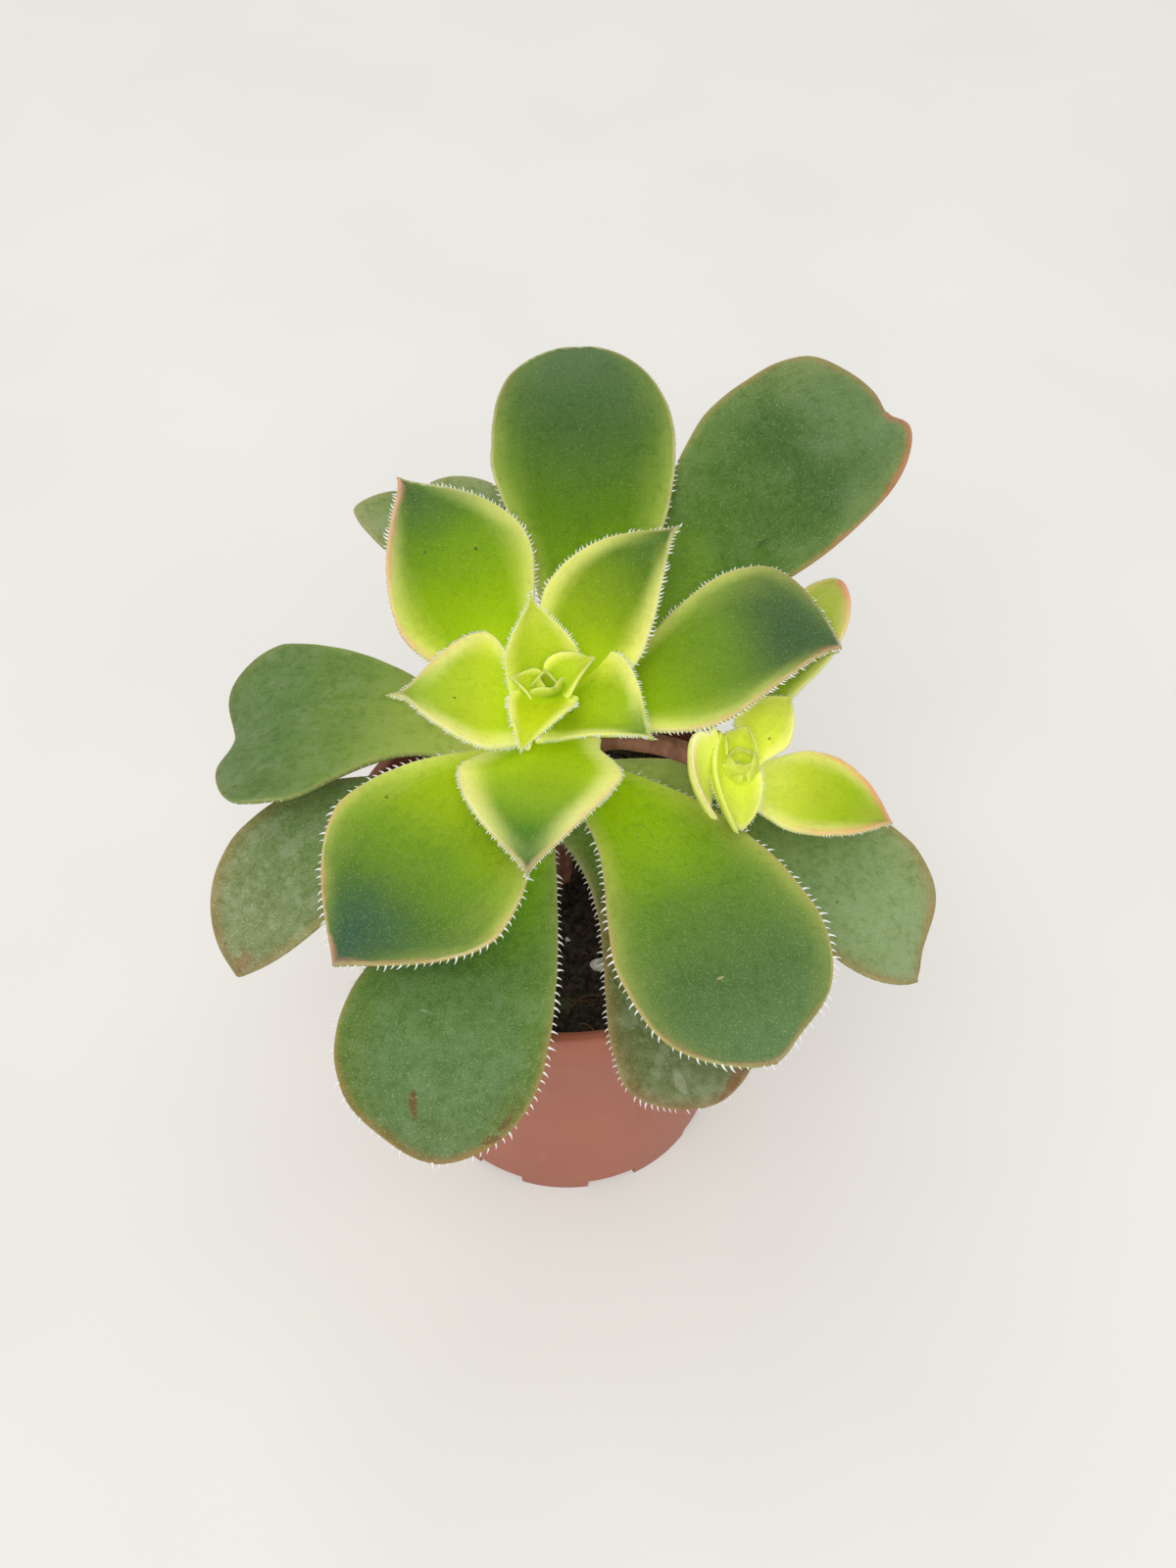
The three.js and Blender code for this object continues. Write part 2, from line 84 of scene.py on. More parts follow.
# One procedural material. Its shader's constant values are set straight on the shader's sockets.
class Finish:
    def __init__(self, name, constants):
        self.material = bpy.data.materials.new(name)
        self.material.use_nodes = True
        self.tree = self.material.node_tree
        self.shader = self.tree.nodes["Principled BSDF"]
        for socketName, value in constants.items():
            self.shader.inputs[socketName].default_value = value

    def feed(self, socket, value):
        if isinstance(value, Wire):
            self.tree.links.new(value.socket, socket)
        else:
            socket.default_value = value

    def node(self, kind, settings, sockets, output=0):
        made = self.tree.nodes.new(kind)
        for key, value in settings.items():
            if key == "stops":
                self.setStops(made.color_ramp, value)
            else:
                setattr(made, key, value)
        for key, value in sockets.items():
            self.feed(made.inputs[key], value)
        return Wire(self, made.outputs[output])

    def setStops(self, ramp, stops):
        while len(ramp.elements) < len(stops):
            ramp.elements.new(1.0)
        for element, (position, colour) in zip(ramp.elements, stops):
            element.position = position
            element.color = colour

    def math(self, operation, first, second=0.0):
        return self.node("ShaderNodeMath", {"operation": operation}, {0: first, 1: second})

    def mix(self, mask, under, over, way="MIX"):
        settings = {"data_type": "RGBA", "blend_type": way, "clamp_factor": True}
        return self.node("ShaderNodeMix", settings, {0: mask, 6: under, 7: over}, 2)

    # 0 at the value start and 1 at the value end, whichever is larger, with soft ends.
    def fade(self, value, start, end):
        sockets = {"Value": value, "From Min": start, "From Max": end}
        return self.node("ShaderNodeMapRange", {"interpolation_type": "SMOOTHSTEP"}, sockets)

    def ramp(self, value, stops):
        return self.node("ShaderNodeValToRGB", {"stops": stops}, {"Fac": value})

    def attribute(self, name):
        return self.node("ShaderNodeAttribute", {"attribute_name": name}, {}, "Fac")

    def place(self):
        return self.node("ShaderNodeTexCoord", {}, {}, "Object")

    def stretched(self, place, scale):
        return self.node("ShaderNodeMapping", {}, {"Vector": place, "Scale": scale})

    # Noise about nought, with features of the given size in millimetres.
    def noise(self, place, size, detail=2.0):
        sockets = {"Vector": place, "Scale": 1 / (size * mm), "Detail": detail}
        return self.node("ShaderNodeTexNoise", {}, sockets) - 0.5

    def specks(self, place, size, radius):
        sockets = {"Vector": place, "Scale": 1 / (size * mm)}
        distance = self.node("ShaderNodeTexVoronoi", {}, sockets, "Distance")
        return self.fade(distance, radius, radius * 0.5)

    def finish(self, colour, roughness, height, depth):
        self.feed(self.shader.inputs["Base Color"], colour)
        self.feed(self.shader.inputs["Roughness"], roughness)
        bump = self.node("ShaderNodeBump", {}, {"Height": height, "Distance": depth * mm})
        self.feed(self.shader.inputs["Normal"], bump)
        return self.material


def makePiece(name, points, faces, material, attributes=None):
    mesh = bpy.data.meshes.new(name)
    mesh.from_pydata(np.asarray(points).tolist(), [], faces)
    for key, values in (attributes or {}).items():
        layer = mesh.attributes.new(key, "FLOAT", "POINT")
        layer.data.foreach_set("value", np.asarray(values, dtype=np.float32))
    mesh.materials.append(material)
    mesh.shade_smooth()
    piece = bpy.data.objects.new(name, mesh)
    bpy.context.collection.objects.link(piece)
    return piece


# Turns what a piece's modifiers make into its plain mesh.
def settle(piece):
    evaluated = piece.evaluated_get(bpy.context.evaluated_depsgraph_get())
    mesh = bpy.data.meshes.new_from_object(evaluated)
    piece.modifiers.clear()
    piece.data = mesh
    return piece


# Puts a finished piece on the plant's one body, in place of its solids.
def handOver(piece, slot, *nodes):
    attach(piece, "root")
    if nodes:
        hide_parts(*nodes)


# The camera looks down on the plant, as in the photograph: degrees and millimetres.
cameraLook = {
    "target": (2.7, 0, 62.1),
    "distance": 205,
    "elevation": 50.1,
    "roll": 0.24,
    "lens": 40.5,
    "sensor": 36,
    "nearest": 10,
}


def makeCamera(look):
    data = bpy.data.cameras.new("camera")
    data.lens = look["lens"]
    data.sensor_width = look["sensor"]
    data.clip_start = look["nearest"] * mm
    camera = bpy.data.objects.new("camera", data)
    bpy.context.collection.objects.link(camera)
    lift = math.radians(look["elevation"])
    back = Vector((0, -math.cos(lift), math.sin(lift)))
    camera.location = (Vector(look["target"]) + back * look["distance"]) * mm
    aim = (-back).to_track_quat("-Z", "Y").to_matrix().to_4x4()
    camera.rotation_euler = aim.to_euler()
    camera.rotation_euler.rotate_axis("Z", math.radians(look["roll"]))
    bpy.context.scene.camera = camera


makeCamera(cameraLook)
print("camera made")


# How far a value has come from start to end, from 0 to 1.
def portion(value, start, end):
    return np.clip((value - start) / (end - start), 0, 1)


# The stems, in millimetres, on the solids' own axes. The rings are the scars of fallen leaves.
stemAxes = {
    "stem": {"at": (-2.0, 0.0), "radius": 2.9, "tipRadius": 1.3, "taperFrom": 66, "top": 76.4},
    "offset": {"at": (19.4, -2.6), "radius": 1.2, "tipRadius": 1.0, "taperFrom": 65.8, "top": 68.6},
}
stem = {
    "foot": 41,
    "steps": 200,
    "sides": 56,
    "branchSides": 28,
    "rings": 0.12,
    "knobs": 0.08,
    "pinches": 0.07,
    "voxel": 0.22,
    "branch": [(-2, 0, 64.8), (1, 0.8, 66.8), (5, 2, 67.6), (9.5, 1.8, 67.4), (14, 0.7, 66.8),
               (17, -1.3, 66.2), (19, -2.5, 66.7), (19.4, -2.6, 68.6)],
}


def radiusAt(axis, z):
    tapered = portion(z, axis["taperFrom"], axis["top"])
    return axis["radius"] + (axis["tipRadius"] - axis["radius"]) * tapered


# The leaves' shapes, in millimetres and degrees, close to the solids' own: a leaf leaves its stem at
# heading and bends by sweep, and climbs at rise at its base and at droop at its tip. left and right,
# seen from the base to the tip, say where one side differs; a dent bites into a side's margin.
leafShape = {
    "axis": "stem", "sweep": 0, "neck": 4.4, "widest": 0.6, "waist": 1, "fullness": 2, "roundness": 0.5,
    "cup": 0.12, "fold": 0, "roll": 0, "notch": 0, "notchWidth": 3, "wave": 0, "point": 0.3,
    "left": {}, "right": {}, "dent": {"at": 1, "depth": 0, "spread": 1},
    "base": 1.9, "middle": 2.1, "margin": 0.8,
    "sink": 1.0, "groove": 0.14, "ripple": 0.16, "rows": 40, "columns": 21, "hairs": {},
}
# What all blades share: places along one in shares of its length, and across it in shares of its half
# width. The end of a blade is rounded over tipRound millimetres.
bladeRule = {
    "wander": 0.012, "roundShare": 0.6, "openBy": 0.9, "foldSoftness": 0.03, "waves": 9,
    "waveShift": 2.1, "notchFrom": 0.7, "pointFrom": 0.9, "fullBy": 0.4, "thinning": 0.45,
    "shoulder": 2.4, "tipRound": 0.4, "grooveWidth": 0.1, "grooveFades": (0.3, 0.9),
}
youngBlade = {"base": 1.1, "middle": 1.2, "margin": 0.7}
leaves = {
    "outer_leaf_1": {
        "heading": -50, "sweep": -28, "seat": -50, "height": 58.2, "rise": 0, "droop": -32,
        "length": 37.6, "width": 18, "widest": 0.68, "wave": 0.3,
        "right": {"widest": 0.8, "waist": 1.3, "fullness": 3.3},
        "hairs": {"Spacing": 0.68, "Length": 0.62},
    },
    "outer_leaf_2": {
        "heading": -5, "sweep": -48, "seat": -3, "height": 61, "rise": 2, "droop": -21, "length": 46,
        "width": 14, "widest": 0.76, "fullness": 2.5, "roundness": 0.6, "wave": 0.4,
        "left": {
            "width": 22.4, "neck": 9, "waist": 0.65, "fullness": 1.5,
            "dent": {"at": 0.955, "depth": 2.3, "spread": 0.05},
        },
        "hairs": {"Length": 0.3, "Spacing": 1.1},
    },
    "outer_leaf_3": {
        "heading": -175, "sweep": 57, "seat": -175, "height": 60.2, "rise": 4, "droop": -25,
        "length": 40.5, "width": 12.6, "widest": 0.61, "fullness": 2.2, "roundness": 0.8, "notch": 0.5,
        "wave": 0.4, "right": {"width": 22.2, "waist": 1.2, "roundness": 0.9},
        "hairs": {"Length": 0.22, "Spacing": 1.3},
    },
    "outer_leaf_4": {
        "heading": 115, "sweep": -2, "seat": 97, "height": 60.8, "rise": 27, "droop": 4, "length": 42.5,
        "width": 19.6, "widest": 0.8, "waist": 1.5, "fullness": 1.9, "notch": 0.6, "wave": 0.3,
        "left": {"width": 18.6, "widest": 0.94, "waist": 3, "fullness": 2.3}, "hairs": {"Length": 0.25},
    },
    "outer_leaf_5": {
        "heading": -112, "sweep": 19, "seat": -115, "height": 62.6, "rise": 5, "droop": -21,
        "length": 44.6, "width": 21.2, "widest": 0.69, "waist": 0.5, "fullness": 2.6, "wave": 0.2,
        "right": {
            "width": 23.6, "widest": 0.72, "waist": 1.6, "fullness": 2,
            "dent": {"at": 0.97, "depth": 1, "spread": 0.05},
        },
    },
    "outer_leaf_6": {
        "heading": 155, "sweep": 27, "seat": 165, "height": 63.2, "rise": 16, "droop": -24,
        "length": 38.4, "width": 23, "widest": 0.8, "waist": 0.8, "fullness": 1.5, "notch": 2,
        "notchWidth": 4.6, "wave": 0.3,
        "left": {"width": 28, "neck": 5, "widest": 0.68, "waist": 2.8, "fullness": 3.2},
        "hairs": {"Length": 0.25, "Spacing": 1.0},
    },
    "outer_leaf_7": {
        "heading": -46, "sweep": -26, "seat": -45, "height": 65.6, "rise": 8, "droop": -12,
        "length": 42.4, "width": 24, "widest": 0.69, "waist": 1.2, "fullness": 3, "cup": 0.15,
        "left": {
            "width": 21.8, "neck": 7, "waist": 0.45, "fullness": 1.7,
            "dent": {"at": 0.965, "depth": 1.9, "spread": 0.05},
        },
    },
    "outer_leaf_8": {
        "heading": 56, "sweep": -35, "seat": 80, "height": 65.4, "rise": 16, "droop": 34,
        "length": 58.5, "width": 18.8, "widest": 0.72, "waist": 1.6, "fullness": 3.2, "notch": 2.5,
        "wave": 0.2, "roll": -22,
        "left": {
            "width": 26.4, "waist": 2.4, "fullness": 2.8,
            "dent": {"at": 0.97, "depth": 3.3, "spread": 0.035},
        },
        "hairs": {"Length": 0.26, "Spacing": 0.8},
    },
    "outer_leaf_9": {
        "heading": -132, "sweep": 9, "seat": -132, "height": 68.8, "rise": 8, "droop": -18,
        "length": 32.8, "width": 22, "widest": 0.56, "waist": 0.45, "fullness": 1.5, "roundness": 1,
        "cup": 0.15, "left": {"width": 28, "widest": 0.65, "waist": 0.6, "fullness": 2},
        "hairs": {"Length": 0.72, "Spacing": 0.85},
    },
    "outer_leaf_10": {
        "heading": 76, "sweep": 19, "seat": 88, "height": 67.8, "rise": 34, "droop": 13, "length": 49.4,
        "width": 22, "widest": 0.68, "waist": 0.7, "fullness": 2.1, "left": {"waist": 2, "fullness": 3},
        "hairs": {"Length": 0.5, "Spacing": 0.7},
    },
    "middle_leaf_1": {
        "heading": 26, "sweep": -17, "seat": 15, "height": 71.2, "rise": 25, "droop": -15, "length": 33,
        "width": 20, "widest": 0.44, "waist": 0.85, "fullness": 1.7, "roundness": 1.35, "cup": 0.18,
        "left": {"width": 23.6, "widest": 0.78, "waist": 1.3, "fullness": 2.2, "roundness": 0.82},
    },
    "middle_leaf_2": {
        "heading": 118, "sweep": 10, "seat": 125, "height": 70.4, "rise": 36, "droop": 20,
        "length": 31.6, "width": 18, "neck": 6, "widest": 0.61, "waist": 1.7, "fullness": 1.9,
        "roundness": 1, "cup": 0.2, "point": 0.8, "left": {"width": 20.4, "widest": 0.46, "waist": 1.2},
    },
    "middle_leaf_3": {
        "heading": 66, "sweep": -30, "seat": 70, "height": 73.4, "rise": 35, "droop": 19, "length": 24,
        "width": 15, "neck": 9, "widest": 0.38, "waist": 0.7, "fullness": 1.8, "roundness": 1,
        "cup": 0.2, "point": 0.9,
        "left": {"width": 14, "neck": 7, "widest": 0.46, "waist": 1.6, "fullness": 2.1},
    },
    "inner_leaf_1": {
        "heading": -93, "sweep": -1, "seat": -95, "height": 71.6, "rise": 20, "droop": 0,
        "length": 20.5, "width": 17.6, "neck": 11, "widest": 0.28, "fullness": 2, "roundness": 1.15,
        "cup": 0.1, "point": 0.6, "sink": 2.4,
        "left": {"width": 18, "neck": 12.6, "waist": 0.6, "fullness": 1.4},
    },
    "inner_leaf_2": {
        "heading": 180, "sweep": 3, "seat": 178, "height": 74.1, "rise": 28, "droop": 0, "length": 13.8,
        "width": 19.6, "neck": 11, "widest": 0.35, "waist": 0.8, "fullness": 1.4, "roundness": 1.05,
        "cup": 0.2, "point": 1.5, "left": {"width": 14.8, "neck": 10, "fullness": 2},
    },
    "inner_leaf_3": {
        "heading": -23, "sweep": -4, "seat": -35, "reach": 1.6, "height": 74.6, "rise": 28, "droop": -6,
        "length": 11.2, "width": 9.4, "neck": 8, "widest": 0.28, "fullness": 1.7, "roundness": 1,
        "cup": 0.15, "fold": 0.4, "point": 0.8,
        "left": {"width": 17.4, "neck": 13, "waist": 0.5, "fullness": 1.5}, **youngBlade,
    },
    "inner_leaf_4": {
        "heading": 102, "seat": 102, "height": 75.6, "rise": 62, "droop": 56, "length": 10.2,
        "width": 8.8, "neck": 7.4, "widest": 0.38, "fullness": 1.5, "roundness": 1, "cup": 0.3,
        "fold": 0.4, "point": 1, "left": {"width": 8, "fullness": 1.8}, **youngBlade,
    },
    "inner_leaf_5": {
        "heading": -103, "seat": -106, "reach": 0.9, "height": 78, "rise": 26, "droop": -8,
        "length": 9.5, "width": 6.2, "neck": 6, "widest": 0.29, "fullness": 1.7, "roundness": 1,
        "cup": 0.2, "fold": 0.4, "left": {"width": 8.4, "neck": 7.6}, **youngBlade,
    },
    "offset_leaf_1": {
        "axis": "offset", "heading": -14, "sweep": -5, "height": 65.8, "rise": 6, "droop": -14,
        "length": 16.5, "width": 12.2, "neck": 6, "widest": 0.4, "waist": 0.7, "fullness": 2,
        "roundness": 0.9, "cup": 0.15, **youngBlade,
    },
    "offset_leaf_2": {
        "axis": "offset", "heading": 68, "sweep": -13, "height": 66.7, "rise": 25, "droop": 8,
        "length": 26.7, "width": 9.6, "neck": 2.6, "widest": 0.66, "waist": 1.6, "roundness": 0.55,
        "cup": 0.15, "left": {"width": 7.2}, **youngBlade,
    },
    "offset_leaf_3": {
        "axis": "offset", "heading": -124, "sweep": 66, "seat": -165, "reach": 3.2, "height": 73.3,
        "rise": 4, "droop": 8, "length": 12.2, "width": 7, "neck": 3.4, "widest": 0.28, "waist": 0.6,
        "fullness": 1.4, "roundness": 0.9, "cup": 0.1, "roll": 70, "left": {"width": 9}, **youngBlade,
    },
    "offset_leaf_4": {
        "axis": "offset", "heading": 48, "height": 68.3, "rise": 38, "droop": 19, "length": 8.4,
        "width": 7, "neck": 4, "widest": 0.46, "fullness": 1.6, "roundness": 0.8, "cup": 0.2,
        "left": {"width": 8, "fullness": 2}, **youngBlade,
    },
    "offset_leaf_5": {
        "axis": "offset", "heading": -90, "reach": 0.6, "height": 69.4, "rise": 14, "droop": -20,
        "length": 8.8, "width": 6.6, "neck": 5, "widest": 0.42, "fullness": 2, "roundness": 0.5,
        "cup": 0.2, "fold": 0.7, "left": {"width": 5}, **youngBlade,
    },
}


def smoothStep(value, start, end):
    share = portion(value, start, end)
    return share * share * (3 - 2 * share)


def halfWidth(leaf, s, hand):
    side = {**leaf, **leaf[hand]}
    neck = side["neck"] / side["width"]
    swell = smoothStep(s, 0, side["widest"]) ** side["waist"]
    beyond = portion(s, side["widest"], 1)
    closing = (1 - beyond ** side["fullness"]) ** side["roundness"]
    share = np.where(s < side["widest"], neck + (1 - neck) * swell, closing)
    dent = side["dent"]
    bitten = dent["depth"] * np.exp(-((s - dent["at"]) / dent["spread"]) ** 2)
    return np.maximum(side["width"] / 2 * share - bitten, 0.08)


def directions(leaf, s):
    heading = np.radians(leaf["heading"] + leaf["sweep"] * s)
    climb = np.radians(leaf["rise"] + (leaf["droop"] - leaf["rise"]) * s)
    across = np.stack([np.sin(heading), -np.cos(heading), np.zeros_like(s)], -1)
    level = np.cos(climb)
    along = np.stack([level * np.cos(heading), level * np.sin(heading), np.sin(climb)], -1)
    up = np.cross(across, along)
    roll = math.radians(leaf["roll"])
    side = across * math.cos(roll) + up * math.sin(roll)
    return along, side, up * math.cos(roll) - across * math.sin(roll)


def midrib(leaf, s):
    axis = stemAxes[leaf["axis"]]
    seat = math.radians(leaf.get("seat", leaf["heading"]))
    lean = 0.7 * leaf["base"] * abs(math.sin(math.radians(leaf["rise"])))
    reach = leaf.get("reach", radiusAt(axis, leaf["height"]) + 0.3 + lean)
    x, y = axis["at"]
    start = np.array([x + reach * math.cos(seat), y + reach * math.sin(seat), leaf["height"]])
    steps = 240
    middles = (np.arange(steps) + 0.5) / steps
    path = np.cumsum(directions(leaf, middles)[0], 0) * leaf["length"] / steps + start
    path = np.vstack([start, path])
    places = np.linspace(0, 1, steps + 1)
    inside = np.stack([np.interp(s, places, path[:, i]) for i in range(3)], -1)
    before = np.minimum(s, 0)[:, None] * leaf["length"]
    return inside + before * directions(leaf, np.zeros(1))[0]


# Slow uneven waves over a blade, different for each leaf.
def unevenness(s, u, draw):
    total = np.zeros(np.broadcast(s, u).shape)
    for turns in (2.2, 3.7, 6.1):
        phase = draw.uniform(0, 6.28, 3)
        total += np.sin(turns * s * 2 + phase[0]) * np.cos(turns * u * 0.9 + phase[1]) / turns ** 0.6
    return total * 0.5


# Places along a blade, from inside the stem to the tip, closer together near the tip.
def placesAlong(leaf):
    low = np.linspace(-leaf["sink"] / leaf["length"], leaf["widest"], leaf["rows"], endpoint=False)
    turn = np.sin(np.linspace(0, math.pi / 2, leaf["rows"]))
    return np.concatenate([low, leaf["widest"] + (1 - leaf["widest"]) * turn])


# The margin from the base round the tip and back, with the ways outward and to the tip at each point.
def marginOf(leaf, s, upper, up):
    edge = np.concatenate([upper[:, 0], upper[::-1, -1]])
    way = np.gradient(edge, axis=0)
    way /= np.linalg.norm(way, axis=1)[:, None]
    outward = np.cross(way, np.concatenate([up, up[::-1]]))
    away = edge - midrib(leaf, np.array([0.55]))
    outward *= np.sign(np.sum(outward * away, 1))[:, None]
    return {
        "points": edge,
        "outward": outward,
        "tipward": np.concatenate([way[:len(s)], -way[len(s):]]),
        "place": np.concatenate([s, s[::-1]]),
    }


# The blade as rings of points that run along its upper face and back along its lower face.
def leafBody(values, draw):
    leaf = {**leafShape, **bladeRule, **values}
    length = leaf["length"]
    s = placesAlong(leaf)
    halves = []
    for hand in ("left", "right"):
        uneven = 1 + leaf["wander"] * unevenness(s * 6, 0, draw)
        halves.append((halfWidth(leaf, np.clip(s, 0, 1), hand) * uneven)[:, None])
    corners = [1 - np.minimum(0.5 * leaf["margin"] / half, leaf["roundShare"]) for half in halves]
    angles = np.radians([22.5, 45, 67.5, 90])
    flat = np.sin(np.linspace(-math.pi / 2, math.pi / 2, leaf["columns"]))
    inner = flat * np.where(flat < 0, corners[0], corners[1])
    outer = [corner + (1 - corner) * np.sin(angles) for corner in corners]
    u = np.hstack([-outer[0][:, ::-1], inner, outer[1]])
    half = np.where(u < 0, halves[0], halves[1])
    fullShare = np.hstack([np.cos(angles)[::-1], np.ones(leaf["columns"]), np.cos(angles)])
    place = s[:, None]
    along, side, up = directions(leaf, s)
    opening = np.sin(np.pi / 2 * portion(place, 0, leaf["openBy"]))
    vee = np.sqrt(u * u + leaf["foldSoftness"]) - math.sqrt(leaf["foldSoftness"])
    phase = np.where(u > 0, 0, leaf["waveShift"])
    waving = leaf["wave"] * u * u * np.sin(leaf["waves"] * place + phase) * opening
    lift = half * (leaf["cup"] * u * u + leaf["fold"] * vee) * opening + waving
    lift = lift + leaf["ripple"] * unevenness(place * 2, u, draw) * opening
    nearTip = portion(place, leaf["notchFrom"], 1) ** 2
    tuck = leaf["notch"] * nearTip * np.exp(-(u * half / leaf["notchWidth"]) ** 2)
    pointed = leaf["point"] * portion(place, leaf["pointFrom"], 1) ** 4
    reachSide = u * half
    spots = midrib(leaf, s)[:, None] + side[:, None] * reachSide[..., None]
    spots = spots + along[:, None] * (pointed - tuck)[..., None]
    body = leaf["base"] + (leaf["middle"] - leaf["base"]) * smoothStep(place, 0, leaf["fullBy"])
    body = body * (1 - leaf["thinning"] * np.clip(place, 0, 1) ** 3)
    thick = np.maximum(leaf["margin"], body + (leaf["margin"] - body) * np.abs(u) ** leaf["shoulder"])
    endShare = np.minimum(portion(place, 1 - leaf["tipRound"] / length, 1), 0.95)
    thick = thick * fullShare * np.sqrt(1 - endShare ** 2)
    middle = lift - 0.8 * tuck - 0.1 * thick
    grooved = np.exp(-(u / leaf["grooveWidth"]) ** 2) * (1 - smoothStep(place, *leaf["grooveFades"]))
    groove = leaf["groove"] * grooved * opening
    upper = spots + up[:, None] * (middle + 0.5 * thick - groove)[..., None]
    lower = spots + up[:, None] * (middle - 0.5 * thick)[..., None]
    rings = np.concatenate([upper, lower[:, -2:0:-1]], 1)
    flat = np.stack([reachSide, place * length + 0 * u], -1)
    outline = np.concatenate([flat[:, 0], flat[:, -1]])
    gaps = np.linalg.norm(flat[:, :, None] - outline[None, None], axis=-1).min(-1)
    reading = {"along": place + 0 * u, "across": u, "rim": gaps}
    shared = {key: np.concatenate([grid, grid[:, -2:0:-1]], 1) for key, grid in reading.items()}
    above = 0.5 + 0.5 * fullShare + 0 * u
    below = 0.5 - 0.5 * fullShare + 0 * u
    shared["upper"] = np.concatenate([above, below[:, -2:0:-1]], 1)
    return rings, shared, marginOf(leaf, s, upper, up)


def ringFaces(rows, count, start=0):
    faces = []
    for row in range(rows - 1):
        for i in range(count):
            a = start + row * count + i
            b = start + row * count + (i + 1) % count
            faces.append((a, b, b + count, a + count))
    first = list(range(start, start + count))
    last = [start + (rows - 1) * count + i for i in range(count)]
    faces.append(tuple(reversed(first)))
    faces.append(tuple(last))
    return faces


# The colours of a ramp, spread evenly along a leaf.
def stops(colours):
    places = np.linspace(0.05, 1.0, len(colours))
    return [(float(place), tint(*colour)) for place, colour in zip(places, colours)]


# The leaves' finishes. core and flank are the colours along the midrib and along the sides, from
# base to tip; band says where across the blade one gives way to the other. Widths are in millimetres
# from the margin, shares run from 0 to 1, and a mark or patch is placed by shares along and across.
# glow is the share of a blade's length, from its base, over which its upper face glows: painted light.
skinLook = {
    "blotchSize": 7, "cloudSize": 3.2, "grainSize": 0.9, "fuzzSize": 0.2, "bump": 0.16,
    "speckSize": 5.5, "speckRadius": 0.05, "speckColour": (70, 78, 40), "speckShare": 0.6,
    "dustColour": (160, 172, 140), "shade": (196, 206, 180),
    "band": (0.5, 1.0), "pale": (232, 234, 132), "paleWidth": 2.4, "paleShare": 0.6,
    "rimColour": (240, 234, 188), "rimWidth": 0.5, "rimShare": 0.7,
    "blush": (222, 140, 118), "blushWidth": 0.75, "blushLeft": 0.2, "blushRight": 0.2, "blushFrom": 0.3,
    "patch": (58, 92, 62), "patchAt": (0.9, 0.0), "patchSize": (0.16, 0.5), "patchShare": 0.0,
    "dust": 0.0, "fuzz": 0.07, "speck": (206, 218, 130), "mottle": 0.2, "marks": [],
    "under": (190, 208, 84), "glow": 0.5,
}
agedLook = {
    "pale": (168, 176, 108), "paleWidth": 1.3, "paleShare": 0.3,
    "rimColour": (198, 178, 134), "rimShare": 0.5, "rimWidth": 0.4, "blush": (164, 112, 78),
    "blushWidth": 1.5, "blushLeft": 0.4, "blushRight": 0.4, "dust": 0.2, "under": (134, 146, 92),
    "fuzz": 0.13, "speck": (176, 192, 146), "mottle": 0.5,
}
freshLook = {"rimColour": (240, 243, 156), "blushLeft": 0, "blushRight": 0}
brown, paleScar = (112, 80, 54), (176, 190, 160)
